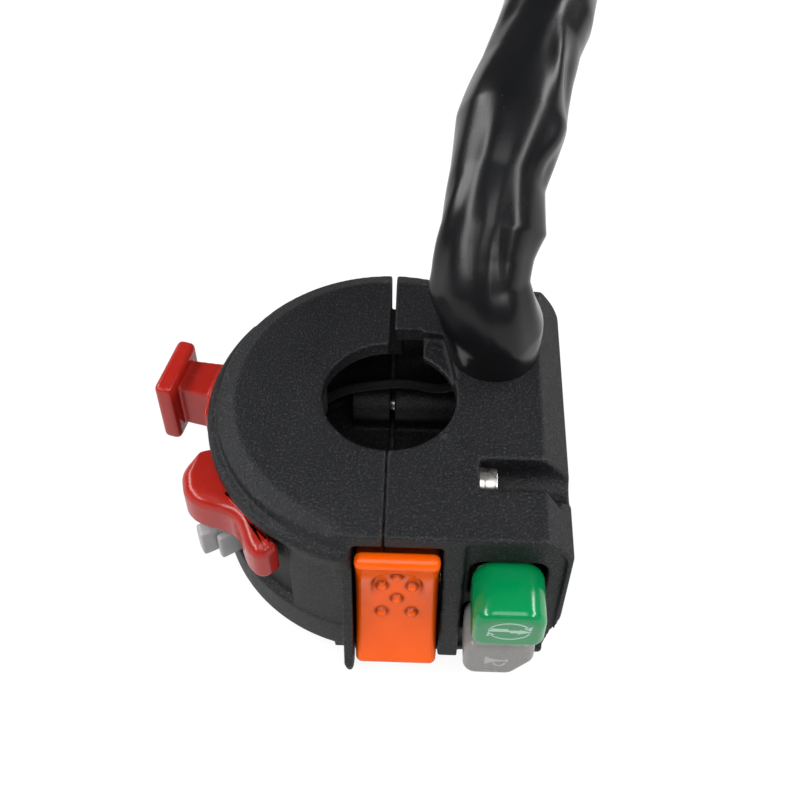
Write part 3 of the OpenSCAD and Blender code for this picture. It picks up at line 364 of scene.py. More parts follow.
def add_piece(name, vertices_mm, faces, body, slot, look=None):
    """A smooth mesh piece that rides on a body and takes its finish from a record slot."""
    mesh = bpy.data.meshes.new(name)
    mesh.from_pydata((np.asarray(vertices_mm) * MM).tolist(), [], [list(f) for f in faces])
    mesh.validate()
    made = bmesh.new()
    made.from_mesh(mesh)
    bmesh.ops.recalc_face_normals(made, faces=made.faces)
    made.to_mesh(mesh)
    made.free()
    mesh.polygons.foreach_set("use_smooth", [len(p.vertices) < 5 for p in mesh.polygons])
    mesh.materials.append(finish[look or slot])
    piece = new_object(name, mesh)
    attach(piece, body)
    return piece


def arc(centre, radius, start, stop, steps):
    """Points along a circle, angles in degrees, both ends included."""
    angles = np.radians(np.linspace(start, stop, steps + 1))
    return np.stack([centre[0] + radius * np.cos(angles), centre[1] + radius * np.sin(angles)], 1)


def rounded(corners, steps=8):
    """A closed outline through corners of (u, v, radius), each corner turned into an arc."""
    points = []
    count = len(corners)
    for i, (u, v, radius) in enumerate(corners):
        here = np.array((u, v), float)
        if radius <= 0:
            points.append(here)
            continue
        before = np.array(corners[i - 1][:2]) - here
        after = np.array(corners[(i + 1) % count][:2]) - here
        before, after = before / np.linalg.norm(before), after / np.linalg.norm(after)
        half = math.acos(np.clip(before @ after, -1, 1)) / 2
        middle = (before + after) / np.linalg.norm(before + after)
        centre = here + middle * radius / math.sin(half)
        first = here + before * radius / math.tan(half) - centre
        last = here + after * radius / math.tan(half) - centre
        sweep = math.pi - 2 * half
        for k in range(steps + 1):
            share = k / steps
            swing = math.sin((1 - share) * sweep) * first + math.sin(share * sweep) * last
            points.append(centre + swing / math.sin(sweep))
    return np.array(points)


def outward(outline):
    """Unit normals of a closed counter-clockwise outline."""
    run = np.roll(outline, -1, 0) - np.roll(outline, 1, 0)
    normal = np.stack([run[:, 1], -run[:, 0]], 1)
    return normal / np.linalg.norm(normal, axis=1)[:, None]


def tube_faces(sides, rings):
    """Faces of a tube whose points lie in rings, with its two ends."""
    faces = []
    for ring in range(rings - 1):
        here, ahead = ring * sides, (ring + 1) * sides
        for k in range(sides):
            beside = (k + 1) % sides
            faces.append((here + k, here + beside, ahead + beside, ahead + k))
    faces.append(tuple(range(sides - 1, -1, -1)))
    faces.append(tuple(range((rings - 1) * sides, rings * sides)))
    return faces


def soft_prism(outline, low, high, low_edge, high_edge, stations, steps=7, share=1.0):
    """An outline drawn out from low to high, with round edges at both ends: (u, v, w) points and faces.
    stations is the number of rings between the edges and steps the number in an edge.
    share is how much of the rounding the points of the outline take."""
    ahead = np.roll(outline, -1, 0)
    share = np.broadcast_to(share, len(outline))
    if np.sum(outline[:, 0] * ahead[:, 1] - outline[:, 1] * ahead[:, 0]) < 0:
        outline, share = outline[::-1], share[::-1]
    turns = np.radians(np.linspace(0, 90, steps + 1))
    first = [(low + low_edge * (1 - math.sin(t)), low_edge * (1 - math.cos(t))) for t in turns[::-1]]
    last = [(high - high_edge * (1 - math.sin(t)), high_edge * (1 - math.cos(t))) for t in turns]
    between = [(w, 0.0) for w in np.linspace(low + low_edge, high - high_edge, stations + 2)[1:-1]]
    rings = first + between + last
    normal = outward(outline) * share[:, None]
    count = len(outline)
    points = [np.column_stack([outline - normal * inset, np.full(count, w)]) for w, inset in rings]
    return np.concatenate(points), tube_faces(count, len(rings))


def joined(*solids):
    """Several (points, faces) solids as one."""
    points, faces = [], []
    for more, sides in solids:
        faces += [[k + len(points) for k in side] for side in sides]
        points += list(more)
    return np.array(points), faces


def turned(points, degrees, axis):
    """Points turned about X or Z."""
    matrix = np.array(Matrix.Rotation(math.radians(degrees), 3, axis))
    return points @ matrix.T


# How close the points of a solid are joined before it is rounded, in metres
JOIN_REACH = 1e-7
# Rounds of smoothing in the spots that are faired further, and how flat the weight is in their middle
FAIR_ROUNDS = 160
SPOT_CORE = 1.4


def evaluated(holder):
    """The mesh of an object with its modifiers applied. The object is removed."""
    result = bpy.data.meshes.new_from_object(holder.evaluated_get(bpy.context.evaluated_depsgraph_get()))
    bpy.data.objects.remove(holder)
    return result


def smoothed(mesh, name, weights, rounds):
    """A mesh drawn smooth where its points have weight, or all over where weights is None."""
    holder = new_object(name, mesh)
    soft = holder.modifiers.new("soft", "SMOOTH")
    soft.factor = 0.5
    soft.iterations = rounds
    if weights is not None:
        group = holder.vertex_groups.new(name="soft")
        for k in np.flatnonzero(weights > 0.01):
            group.add([int(k)], float(weights[k]), "REPLACE")
        soft.vertex_group = group.name
    return evaluated(holder)


def near_spots(mesh, spots):
    """1 in the middle of a spot of (x, y, z, radius) in mm, falling to 0 at its rim."""
    points = np.empty(len(mesh.vertices) * 3)
    mesh.vertices.foreach_get("co", points)
    points = points.reshape(-1, 3) / MM
    weights = np.zeros(len(points))
    for x, y, z, radius in spots:
        nearness = 1 - np.linalg.norm(points - (x, y, z), axis=1) / radius
        weights = np.maximum(weights, np.clip(SPOT_CORE * nearness, 0, 1))
    return weights


def softened(node, name, body, slot, voxel_mm, rounds, keep=1.0, azimuth=0.0, spots=()):
    """A copy of a solid whose sharp edges are rounded the way moulded edges are, in place of the solid.
    keep is the share of the faces that stay. azimuth turns the solid square to the grid while it is
    rounded, and spots are faired further."""
    mesh = nodes[node].data.copy()
    made = bmesh.new()
    made.from_mesh(mesh)
    bmesh.ops.remove_doubles(made, verts=made.verts, dist=JOIN_REACH)
    made.transform(Matrix.Rotation(-math.radians(azimuth), 4, "Z"))
    made.to_mesh(mesh)
    made.free()
    source = new_object(name + "_source", mesh)
    grid = source.modifiers.new("grid", "REMESH")
    grid.mode = "VOXEL"
    grid.voxel_size = voxel_mm * MM * 1
    result = smoothed(evaluated(source), name + "_soft", None, rounds)
    if spots:
        result = smoothed(result, name + "_fair", near_spots(result, spots), FAIR_ROUNDS)
    result.name = name
    result.transform(Matrix.Rotation(math.radians(azimuth), 4, "Z"))
    result.polygons.foreach_set("use_smooth", [True] * len(result.polygons))
    result.materials.clear()
    result.materials.append(finish[slot])
    piece = new_object(name, result)
    if keep < 1:
        fewer = piece.modifiers.new("fewer", "DECIMATE")
        fewer.ratio = keep
    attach(piece, body)
    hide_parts(node)
    return piece


# Harness

# Middle of the sleeve from the end face to the plug, in mm
ROUTE = [(17.5, 11, 36), (17.3, 10.8, 41), (16.3, 11, 46), (15.4, 13.4, 50.5), (15.2, 17, 54.5),
         (15.9, 22, 58.5), (17.6, 29.5, 62.5), (19.4, 39, 65.5), (22.4, 51, 67), (26.2, 65.5, 67.5),
         (31, 84, 66), (36, 103, 60), (41, 121, 50), (45, 138, 38), (48, 154, 26), (50, 170, 16),
         (51, 186, 10), (50, 201, 8), (46, 216, 8), (38, 229, 8), (26, 238, 8), (12, 242, 8),
         (0, 242, 8), (-12, 242, 8)]
ROUTE_STEPS = 14
SLEEVE_SIDES = 72
# Sleeve along its length: distance from the end face, half width to the left and to the right
HALF_WIDTHS = [(0, 7.9, 7.5), (6, 8.5, 7.9), (14, 9.2, 6.8), (18, 8.5, 7.6), (23, 7.7, 9.2),
               (31, 8.0, 7.9), (41, 8.8, 9.4), (52, 7.5, 8.4), (60, 7.3, 8.1), (67, 7.3, 8.8),
               (76, 7.8, 8.0), (95, 8.1, 7.7), (120, 7.7, 8.1), (150, 8.0, 7.8), (190, 7.8, 8.0),
               (230, 8.0, 7.9), (320, 7.9, 7.9)]
# Folds: distance, angle round the sleeve, height, half length, half spread in degrees,
# and degrees of lean a millimetre
FOLDS = [(22, 288, -0.45, 9, 10, 0.3), (22, 213, 0.6, 7, 13, 3.0), (12, 208, 0.4, 5, 12, -7),
         (30, 330, -0.8, 13, 24, 0.4), (38, 338, 0.7, 4, 14, 1.5), (34, 348, -0.6, 3, 16, 0),
         (52, 314, 0.5, 8, 10, -1.2), (50, 338, -0.5, 8, 10, -1), (64, 235, -0.5, 12, 24, 0.5),
         (60, 275, 0.25, 14, 16, 0.3), (30, 242, -0.35, 8, 12, 1), (84, 300, 0.5, 9, 16, 1),
         (92, 250, -0.5, 8, 14, -1), (108, 290, -0.45, 9, 18, 1), (126, 330, 0.5, 8, 18, 1),
         (140, 240, -0.5, 9, 16, -1), (165, 290, -0.4, 9, 20, 1), (196, 270, 0.4, 9, 20, 1)]
END_FADE = 5.0
# Heights of the broad and the fine ripples all along the sleeve
RIPPLE = 0.12
FINE_RIPPLE = 0.07
# Lines from the die: how fast they change along the sleeve and round it
STREAK_LENGTH = 60
STREAK_COUNT = 9


def smooth_path(points, steps):
    """Catmull-Rom curve through the points."""
    q = np.array(points, float)
    made = []
    for i in range(len(q) - 1):
        a, b, c, d = q[max(i - 1, 0)], q[i], q[i + 1], q[min(i + 2, len(q) - 1)]
        for t in np.arange(steps) / steps:
            made.append(0.5 * (2 * b + (c - a) * t + (2 * a - 5 * b + 4 * c - d) * t ** 2
                               + (3 * b - a - 3 * c + d) * t ** 3))
    return np.array(made + [q[-1]])


def wrinkled_radius(s, angle):
    """Radius of the sleeve at a distance along it and an angle round it in degrees, with its folds."""
    at, left, right = (np.array(x) for x in zip(*HALF_WIDTHS))
    lefts, rights = np.interp(s, at, left), np.interp(s, at, right)
    side = (1 + np.cos(np.radians(angle))) / 2
    radius = lefts * (1 - side) + rights * side
    fade = np.clip(np.minimum(s, s.max() - s) / END_FADE, 0, 1)
    wrinkles = np.zeros_like(radius)
    for distance, around, height, length, spread, lean in FOLDS:
        off = (angle - around - lean * (s - distance) + 180) % 360 - 180
        wrinkles += height * np.exp(-((s - distance) / length) ** 2 - (off / spread) ** 2)
    sway = np.radians(angle) * 5 + 0.16 * s + 1.4 * np.sin(0.07 * s)
    fine_sway = np.radians(angle) * 9 - 0.21 * s
    wrinkles += RIPPLE * np.sin(sway) * np.sin(0.11 * s + 1) + FINE_RIPPLE * np.sin(fine_sway)
    return radius + fade * wrinkles


def make_harness():
    """The sleeve along its route, in place of the solid sleeve."""
    centre = smooth_path(ROUTE, ROUTE_STEPS)
    heading = np.gradient(centre, axis=0)
    heading[0], heading[-1] = (0, 0, 1), (-1, 0, 0)
    heading /= np.linalg.norm(heading, axis=1)[:, None]
    distance = np.concatenate([[0], np.cumsum(np.linalg.norm(np.diff(centre, axis=0), axis=1))])
    angle = np.arange(SLEEVE_SIDES) * 360 / SLEEVE_SIDES
    side = np.array((1.0, 0, 0))
    radius = wrinkled_radius(*np.meshgrid(distance, angle, indexing="ij"))
    cos, sin = np.cos(np.radians(angle)), np.sin(np.radians(angle))
    rings = []
    for point, along, reach in zip(centre, heading, radius):
        side = side - (side @ along) * along
        side /= np.linalg.norm(side)
        spokes = cos[:, None] * side + sin[:, None] * np.cross(along, side)
        rings.append(point + reach[:, None] * spokes)
    points = np.concatenate(rings)
    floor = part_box("harness_sleeve")[0].z / MM
    points[:, 2] = np.maximum(points[:, 2], floor)
    count = len(centre)
    faces = tube_faces(SLEEVE_SIDES, count)
    piece = add_piece("harness", points, faces, "casing", "sleeve")
    streak = piece.data.attributes.new(STREAK, "FLOAT_VECTOR", "POINT")
    lengthwise = np.repeat(distance, SLEEVE_SIDES) / STREAK_LENGTH
    turns = np.stack([np.tile(cos, count), np.tile(sin, count), lengthwise], 1)
    streak.data.foreach_set("vector", (turns * STREAK_COUNT).astype(np.float32).ravel())
    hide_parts("harness_sleeve")


make_harness()


# Light rocker

# Outlines of the rocker are (depth, height, radius) in mm from its pin
LIGHT_TILT = -7.5
LIGHT_HALF_W = 6.7
LIGHT_TOP = 13.6
LIGHT_BOTTOM = -14.0
LIGHT_TIP = 8.7
LIGHT_DIP = 2.8
LIGHT_FACE = (-12.6, 12.0)
LIGHT_EDGE = 1.1
LIGHT_STATIONS = 96
LIGHT_FACE_POINTS = 190
LIGHT_BACK = -0.8
LIGHT_BACK_HALF = 8.1
LIGHT_RELIEF_FROM = -5
LIGHT_STEM = 4.6
LIGHT_STEM_ROOT = -1.6
LIGHT_STEM_HALF = 3
# Dish: middle across and up, half width, half height
DISH = (0.0, 5.0, 4.3, 5.0)
DISH_DEPTH = 0.8
DISH_RIM = 0.16
# Where the dish runs out towards its foot, and over what height
DISH_FOOT = -1
DISH_RUN_OUT = 6
DOTS = [(0, 7.1), (-2.43, 4.2), (2.43, 4.2), (0, 1.1), (-2.43, -2.27), (2.43, -2.27)]
DOT_R = 1.0
DOT_H = 0.9
# Painted shade in the recesses: its share, where it lies on the dish's rim, how wide it is there, and round
# a dot
PAINTED_SHADE_SHARE = 0.8
PAINTED_SHADE_RIM = 0.9
PAINTED_SHADE_RIM_WIDTH = 0.12
PAINTED_SHADE_DOT_WIDTH = 0.3


def dish_reach(x, z):
    """0 along the middle of the dish and 1 at its rim."""
    return np.hypot((x - DISH[0]) / DISH[2], np.maximum(z - DISH[1], 0) / DISH[3])


def light_relief(x, z):
    """Height of the dish, which is open at its foot, and its dots over the face of the light rocker."""
    rim = np.clip((1 - dish_reach(x, z)) / DISH_RIM, 0, 1)
    rim = rim * rim * (3 - 2 * rim)
    open_foot = np.clip((z - DISH_FOOT) / DISH_RUN_OUT, 0, 1)
    height = -DISH_DEPTH * rim * open_foot * open_foot
    for dx, dz in DOTS:
        share = np.clip(1 - ((x - dx) ** 2 + (z - dz) ** 2) / DOT_R ** 2, 0, 1)
        height = height + DOT_H * share ** 0.5
    return height


def light_painted_shade(x, z):
    """Painted shade, from 0 to 1: along the rim of the dish and round the dots, where shade falls in the
    recesses.
    """
    off_rim = (dish_reach(x, z) - PAINTED_SHADE_RIM) / PAINTED_SHADE_RIM_WIDTH
    painted_shade = PAINTED_SHADE_SHARE * np.exp(-off_rim ** 2) * np.clip((z - 1) / 4, 0, 1)
    for dx, dz in DOTS:
        off_dot = (np.hypot(x - dx, z - dz) - DOT_R) / PAINTED_SHADE_DOT_WIDTH
        painted_shade = np.maximum(painted_shade, PAINTED_SHADE_SHARE * np.exp(-off_dot ** 2))
    return painted_shade


def make_light_rocker():
    """The orange cap with its hollow face, dish and dots, and the stem behind it."""
    along = np.linspace(1, -1, LIGHT_FACE_POINTS)
    middle, half = sum(LIGHT_FACE) / 2, (LIGHT_FACE[1] - LIGHT_FACE[0]) / 2
    face = [(-LIGHT_TIP + LIGHT_DIP * (1 - t * t), middle + half * t, 0) for t in along]
    back = [(LIGHT_BACK, -LIGHT_BACK_HALF, 0.6), (LIGHT_BACK, LIGHT_BACK_HALF, 0.6), (-4.6, 10.4, 0.8),
            (-6.5, LIGHT_TOP, 0.8), (-LIGHT_TIP, LIGHT_TOP, 1.5)]
    front = [(-LIGHT_TIP, LIGHT_BOTTOM, 1.3), (-6.3, LIGHT_BOTTOM, 0.9)]
    outline = rounded(back + face + front)
    # The edges are sharper towards the back
    share = np.clip((-outline[:, 0] - 3) / 3, 0.25, 1)
    cap = soft_prism(outline, -LIGHT_HALF_W, LIGHT_HALF_W, LIGHT_EDGE, LIGHT_EDGE, LIGHT_STATIONS,
                     share=share)
    half_stem = LIGHT_STEM_HALF
    stem = rounded([(LIGHT_STEM_ROOT, -half_stem, 0.3), (LIGHT_STEM, -half_stem, 0.5),
                    (LIGHT_STEM, half_stem, 0.5), (LIGHT_STEM_ROOT, half_stem, 0.3)], 4)
    points, faces = joined(cap, soft_prism(stem, -half_stem, half_stem, 0.4, 0.4, 2, 3))
    y, z, x = points.T
    inside = (abs(x) < LIGHT_HALF_W - LIGHT_EDGE) & (z > LIGHT_FACE[0]) & (z < LIGHT_FACE[1])
    on_face = (y < LIGHT_RELIEF_FROM) & inside
    y = y - np.where(on_face, light_relief(x, z), 0)
    pivot = np.array(joints["light_rock"]["pos_m"]) / MM
    placed = turned(np.stack([x, y, z], 1), LIGHT_TILT, "X") + pivot
    piece = add_piece("light_rocker_cap", placed, faces, "light_switch", "orange")
    # The cap's attribute of painted shade, dark round its dots and along the dish's rim
    painted_shade = piece.data.attributes.new(PAINTED_SHADE, "FLOAT", "POINT")
    painted_shade.data.foreach_set("value", np.where(on_face, light_painted_shade(x, z), 0).astype(np.float32))
    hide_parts("light_rocker")


make_light_rocker()


# Kill rocker

# Outlines of the rocker are (distance out, distance along, radius) in mm from its pin
KILL_FACE = 224.5
KILL_BASE = 6.66
KILL_BASE_BACK = 2.6
KILL_TIP = 11.8
KILL_FRONT_TIP = 10.7
KILL_FRONT = 9.9
KILL_SOLE = (2.1, -11.1)
KILL_HEEL = (5.3, -12.9)
KILL_SHOULDER = (9.6, -12.2)
KILL_BACK_TIP = -8.6
KILL_DIP = 2.4
KILL_SADDLE = (-6.9, 7.7)
KILL_EDGE = 2.2
KILL_UNDER_EDGE = 0.8
KILL_SADDLE_POINTS = 60
KILL_NECK_ROOT = -2.6
KILL_NECK_HALF = 3.4
KILL_STEM_ROOT = -4.9
KILL_STEM_TOP = -2
KILL_STEM_HALF = 2


def make_kill_rocker():
    """The red cap with its saddle, and the neck and stem that carry it."""
    lo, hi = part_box("kill_rocker")
    low, high = lo.z / MM, hi.z / MM
    along = np.linspace(*KILL_SADDLE, KILL_SADDLE_POINTS)
    share = (along - KILL_SADDLE[0]) / (KILL_SADDLE[1] - KILL_SADDLE[0])
    wave = 0.5 - 0.5 * np.cos(2 * math.pi * share)
    crest = np.linspace(KILL_TIP, KILL_FRONT_TIP, KILL_SADDLE_POINTS)
    saddle = [(top - KILL_DIP * w, v, 0) for top, v, w in zip(crest, along, wave)]
    foot = [(KILL_SOLE[0], KILL_BASE_BACK, 0.5), (*KILL_SOLE, 0.8), (*KILL_HEEL, 3.6),
            (*KILL_SHOULDER, 4.2), (KILL_TIP, KILL_BACK_TIP, 3.6)]
    toe = [(KILL_FRONT_TIP, KILL_FRONT, 2.0), (KILL_BASE, KILL_FRONT, 0.8),
           (KILL_BASE, KILL_BASE_BACK, 0.5)]
    outline = rounded(foot + saddle + toe)
    # The edges are sharper towards the drum
    rounding = np.clip((outline[:, 0] - 4.5) / 4, 0.2, 1)
    cap = soft_prism(outline, low, high, KILL_UNDER_EDGE, KILL_EDGE, 24, 9, rounding)
    neck_top = KILL_BASE + 1
    neck = rounded([(KILL_NECK_ROOT, -KILL_NECK_HALF, 1.2), (neck_top, -KILL_NECK_HALF, 0.3),
                    (neck_top, KILL_NECK_HALF, 0.3), (KILL_NECK_ROOT, KILL_NECK_HALF, 1.2)])
    stem = rounded([(KILL_STEM_ROOT, -KILL_STEM_HALF, 0.4), (KILL_STEM_TOP, -KILL_STEM_HALF, 0.2),
                    (KILL_STEM_TOP, KILL_STEM_HALF, 0.2), (KILL_STEM_ROOT, KILL_STEM_HALF, 0.4)], 4)
    inner = [soft_prism(side, low, high, 0.3, 0.3, 2, 3) for side in (neck, stem)]
    points, faces = joined(cap, *inner)
    pivot = np.array(joints["kill_rock"]["pos_m"]) / MM
    placed = turned(points, KILL_FACE, "Z") + (pivot[0], pivot[1], 0)
    piece = add_piece("kill_rocker_cap", placed, faces, "kill_switch", "red")
    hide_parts("kill_rocker")


make_kill_rocker()


# Push buttons

CAP_ROUND = 2.3
CAP_TOP_ROUND = 3.8
CAP_FRONT_EDGE = 1.5
CAP_BACK_EDGE = 2.1
CAP_TAB = 0.8
START_DEPTH = 10.6
HORN_DEPTH = 9.4
HORN_CHAMFER = (3.3, 5.0)
PRINT_PROUD = 0.05
PRINT_SUNK = 0.25


def make_push_cap(node, name, body, slot, depth, chamfer):
    """A button's cap; chamfer is how far its lower corner by the side wall is cut, across and up.
    Returns its front and middle."""
    lo, hi = (np.array(c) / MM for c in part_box(node))
    x0, x1, z0, z1 = lo[0], hi[0], lo[2] + CAP_TAB, hi[2] - CAP_TAB
    corners = [(x0, z0, CAP_ROUND), (x1, z0, CAP_ROUND)]
    if chamfer:
        corners[1:] = [(x1 - chamfer[0], z0, CAP_ROUND), (x1, z0 + chamfer[1], CAP_ROUND)]
    top = CAP_ROUND if chamfer else CAP_TOP_ROUND
    outline = rounded(corners + [(x1, z1, top), (x0, z1, top)], 12)
    points, faces = soft_prism(outline, lo[1], lo[1] + depth, CAP_FRONT_EDGE, CAP_BACK_EDGE, 20, 10)
    placed = points[:, [0, 2, 1]]
    piece = add_piece(name, placed, faces, body, slot)
    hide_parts(node)
    return lo[1], (x0 + x1) / 2, (z0 + z1) / 2


def strip(points, width):
    """A flat band along points in a plane, as one outline."""
    points = np.array(points, float)
    run = np.gradient(points, axis=0)
    run /= np.linalg.norm(run, axis=1)[:, None]
    off = np.stack([-run[:, 1], run[:, 0]], 1) * width / 2
    return np.concatenate([points + off, (points - off)[::-1]])


def make_print(name, outlines, front, middle, body, slot, look):
    """Flat figures on a button's front face, sunk a little into it."""
    points, faces = [], []
    for outline in outlines:
        n, base = len(outline), len(points)
        for y in (front - PRINT_PROUD, front + PRINT_SUNK):
            points += [(middle[0] + u, y, middle[1] + v) for u, v in outline]
        faces += [(base + k, base + (k + 1) % n, base + n + (k + 1) % n, base + n + k) for k in range(n)]
        faces += [tuple(range(base, base + n)), tuple(range(base + 2 * n - 1, base + n - 1, -1))]
    piece = add_piece(name, points, faces, body, slot, look)
    piece.data.polygons.foreach_set("use_smooth", [False] * len(piece.data.polygons))
    return piece


def starter_figure():
    """A broken ring round a bolt, the usual sign for an engine starter."""
    ring_u, ring_v, middle_v = 3.2, 2.5, 0.6
    line = 0.24
    sweep = np.radians(np.linspace(24, 168, 40))
    upper = np.stack([ring_u * np.cos(sweep), middle_v + ring_v * np.sin(sweep)], 1)
    lower = np.stack([-upper[:, 0], 2 * middle_v - upper[:, 1]], 1)
    tip = upper[0]
    arrow = np.array([tip + (-0.75, 0.1), tip + (0.55, 0.55), tip + (0.35, -0.75)])
    other = np.array([-arrow[:, 0], 2 * middle_v - arrow[:, 1]]).T
    bolt = np.array([(-3.3, 0.55), (-3.3, 1.45), (-0.3, 1.35), (-0.1, 0.95), (1.6, 1.0), (1.5, 1.3),
                     (3.4, 0.5), (1.3, -0.2), (1.3, 0.15), (0.2, 0.1), (0.0, 0.45)])
    return [strip(upper, line), strip(lower, line), arrow, other, bolt]


def horn_figure():
    """A small bugle with its bell to the left and a loop under its tube."""
    bell_u, tube_length, middle_v, tube_half, bell_half = -2.3, 3.4, 0.55, 0.2, 1.25
    along = np.linspace(0, 1, 14)
    upper = np.stack([bell_u + tube_length * along, middle_v + tube_half + bell_half * (1 - along) ** 3], 1)
    lower = np.stack([upper[:, 0], 2 * middle_v - upper[:, 1]], 1)
    mouth = [(1.1, 0.05), (1.5, 0.05), (1.5, 1.05), (1.1, 1.05)]
    loop = arc((0.1, -0.35), 0.85, 170, 370, 24)
    return [np.concatenate([upper, lower[::-1]]), np.array(mouth), strip(loop, 0.36)]


def make_push_buttons():
    """Both caps with their signs."""
    front, x, z = make_push_cap("start_button", "start_cap", "start_switch", "green", START_DEPTH, None)
    make_print("start_sign", starter_figure(), front, (x, z), "start_switch", "green", "print")
    front, x, z = make_push_cap("horn_button", "horn_cap", "horn_switch", "grey", HORN_DEPTH, HORN_CHAMFER)
    make_print("horn_sign", horn_figure(), front, (x, z), "horn_switch", "grey", "pale_print")


make_push_buttons()


# Casing, stop knob and turn slider

STOP_AZIMUTH = 166
# Grid in mm, rounds of smoothing and share of the faces kept
SHELL_SOFT = (0.28, 7, 0.3)
STOP_SOFT = (0.16, 22, 0.5)
TURN_SOFT = (0.15, 150, 0.6)
# Where the hood runs out over the cheek, the bevel runs out at the front, and the fin ends
DRUM_SPOTS = [(-8.5, -25.5, 35.5, 5), (-14.4, -26.1, 30.8, 5), (-12.1, -27.2, 30.8, 5),
              (-9.7, -28.2, 30.8, 5), (-7.4, -28.9, 30.8, 4), (-6.4, -32.4, 0.5, 2.5)]

softened("left_shell", "drum_half", "casing", "drum_plastic", *SHELL_SOFT, spots=DRUM_SPOTS)
softened("right_shell", "block_half", "casing", "block_plastic", *SHELL_SOFT)
softened("stop_knob", "stop_knob_cap", "stop_switch", "red", *STOP_SOFT, STOP_AZIMUTH)
softened("turn_knob", "turn_knob_cap", "turn_switch", "light_grey", *TURN_SOFT)


# Strips that close the split between the halves from inside

# Extent of each along X, Y and Z in mm
SEALS = [((-0.4, 0.4), (23.2, 25.0), (0.3, 22.0)), ((-0.4, 0.4), (11.5, 24.0), (0.3, 2.6)),
         ((-0.1, 0.1), (-24.4, -12.2), (0.8, 35.2))]


def make_seals():
    """The three strips as one piece."""
    strips = []
    for (x0, x1), (y0, y1), (z0, z1) in SEALS:
        edge = (x1 - x0) / 5
        outline = rounded([(x0, y0, edge), (x1, y0, edge), (x1, y1, edge), (x0, y1, edge)], 3)
        strips.append(soft_prism(outline, z0, z1, edge, edge, 2, 3))
    add_piece("split_seal", *joined(*strips), "casing", "block_plastic")


make_seals()


# Finishes of the solids that stay

NODE_SLOTS = {
    "steel": ["clamp_screws", "clamp_washers", "light_pin", "light_plunger", "light_spring", "start_spring",
              "horn_spring", "stop_spring", "kill_pin", "kill_plunger", "turn_ball", "turn_spring"],
    "brass": ["thread_inserts", "light_contact", "start_contact", "horn_contact", "push_terminals",
              "stop_contacts", "kill_contact", "plug_terminals"],
    "rubber": ["cable_grommet"],
    "wire": ["inner_wires"],
    "frame_plastic": ["light_frame", "stop_frame", "kill_frame"],
    "light_grey": ["turn_carriage"],
    "board": ["push_base", "turn_board"],
    "plug": ["plug_body"],
    "bundle": ["harness_wires"],
}
# Solids seen from outside, whose sharp edges are broken by a small bevel
BROKEN = ("plug_body", "clamp_screws")
BREAK_EDGE = 0.25
BREAK_ANGLE = 35
FLAT_ANGLE = 1
WELD_REACH = 1e-6


def dress_solids():
    """Gives each solid its finish, and breaks the edges of those that are seen."""
    for slot, names in NODE_SLOTS.items():
        for name in names:
            solid = nodes[name]
            solid.data.materials.clear()
            solid.data.materials.append(finish[slot])
    for name in BROKEN:
        solid = nodes[name]
        weld = solid.modifiers.new("weld", "WELD")
        weld.merge_threshold = WELD_REACH
        flat = solid.modifiers.new("flat", "DECIMATE")
        flat.decimate_type = "DISSOLVE"
        flat.angle_limit = math.radians(FLAT_ANGLE)
        edge = solid.modifiers.new("edge", "BEVEL")
        edge.width = BREAK_EDGE * MM
        edge.segments = 2
        edge.limit_method = "ANGLE"
        edge.angle_limit = math.radians(BREAK_ANGLE)


dress_solids()


# Springs, each with a mesh of its own

SPRINGS = {"start_spring": "start_push", "horn_spring": "horn_push", "stop_spring": "stop_push"}


def press_springs():
    """Gives each spring a mesh of its own."""
    for name, joint in SPRINGS.items():
        spring = nodes[name]
        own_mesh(spring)


press_springs()


# Studio

FLOOR_SIZE = 6.0
FLOOR_DROP = 0.0002
FLOOR_GLOW = 0.87
FLOOR_CATCH = 0.15
FLOOR_PLAIN = 0.5
# Lamps: place, size across and along in metres, and power in watts
LAMPS = [
    ("left_box", (-0.45, 0.0, 0.36), (0.95, 0.10), 3.7),
    ("right_box", (0.45, 0.0, 0.36), (0.95, 0.10), 3.7),
    ("top_box", (0.0, -0.36, 0.68), (0.55, 0.50), 3.0),
]
LAMP_AIM = (0.0, 0.0, 0.03)
SKY_LOW = 0.10
SKY_HIGH = 0.12
SKY_SPAN = 0.5


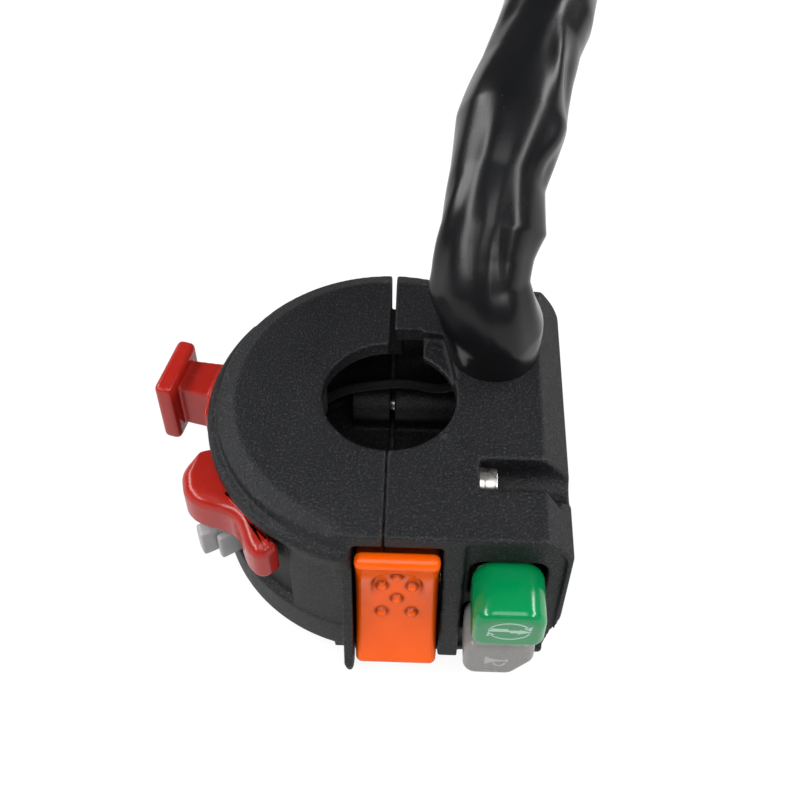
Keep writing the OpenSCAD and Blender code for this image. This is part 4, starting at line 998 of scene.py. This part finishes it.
def make_floor():
    """A pale floor. It glows where it is looked at, and lights the part as plain grey."""
    mesh = bpy.data.meshes.new("floor")
    half = FLOOR_SIZE / 2
    z = -FLOOR_DROP
    corners = [(-half, -half, z), (half, -half, z), (half, half, z), (-half, half, z)]
    mesh.from_pydata(corners, [], [(0, 1, 2, 3)])
    floor = new_object("floor", mesh)
    material = bpy.data.materials.new("pale floor")
    material.use_nodes = True
    tree = material.node_tree
    tree.nodes.clear()
    plain = tree.nodes.new("ShaderNodeBsdfDiffuse")
    plain.inputs["Color"].default_value = (FLOOR_PLAIN, FLOOR_PLAIN, FLOOR_PLAIN, 1)
    catch = tree.nodes.new("ShaderNodeBsdfDiffuse")
    catch.inputs["Color"].default_value = (FLOOR_CATCH, FLOOR_CATCH, FLOOR_CATCH, 1)
    glow = tree.nodes.new("ShaderNodeEmission")
    glow.inputs["Strength"].default_value = FLOOR_GLOW
    seen = tree.nodes.new("ShaderNodeAddShader")
    link(tree, catch.outputs[0], seen.inputs[0])
    link(tree, glow.outputs[0], seen.inputs[1])
    path = tree.nodes.new("ShaderNodeLightPath")
    direct = tree.nodes.new("ShaderNodeMath")
    direct.operation = "MAXIMUM"
    link(tree, path.outputs["Is Camera Ray"], direct.inputs[0])
    link(tree, path.outputs["Is Glossy Ray"], direct.inputs[1])
    either = tree.nodes.new("ShaderNodeMath")
    either.operation = "MAXIMUM"
    link(tree, direct.outputs[0], either.inputs[0])
    link(tree, path.outputs["Is Transmission Ray"], either.inputs[1])
    mixed = tree.nodes.new("ShaderNodeMixShader")
    link(tree, either.outputs[0], mixed.inputs["Fac"])
    link(tree, plain.outputs[0], mixed.inputs[1])
    link(tree, seen.outputs[0], mixed.inputs[2])
    out = tree.nodes.new("ShaderNodeOutputMaterial")
    link(tree, mixed.outputs[0], out.inputs["Surface"])
    mesh.materials.append(material)


def make_lamps():
    """Soft boxes aimed at the part."""
    for name, place, size, power in LAMPS:
        data = bpy.data.lights.new(name, "AREA")
        data.shape = "RECTANGLE"
        data.size, data.size_y = size
        data.energy = power
        lamp = new_object(name, data)
        lamp.location = place
        lamp.rotation_mode = "QUATERNION"
        lamp.rotation_quaternion = (Vector(LAMP_AIM) - Vector(place)).to_track_quat("-Z", "Y")


def make_sky():
    """A plain grey studio, a little paler overhead."""
    world = bpy.data.worlds.new("studio")
    world.use_nodes = True
    tree = world.node_tree
    sky = tree.nodes["Background"]
    coords = tree.nodes.new("ShaderNodeTexCoord")
    split = tree.nodes.new("ShaderNodeSeparateXYZ")
    link(tree, coords.outputs["Generated"], split.inputs[0])
    fall = tree.nodes.new("ShaderNodeMapRange")
    for socket, number in zip(RANGE_SOCKETS, (0.0, SKY_SPAN, SKY_LOW, SKY_HIGH)):
        fall.inputs[socket].default_value = number
    link(tree, split.outputs["Z"], fall.inputs["Value"])
    link(tree, fall.outputs["Result"], sky.inputs["Strength"])
    sky.inputs["Color"].default_value = (1, 1, 1, 1)
    bpy.context.scene.world = world


make_floor()
make_lamps()
make_sky()
bpy.context.scene.view_settings.view_transform = "Standard"
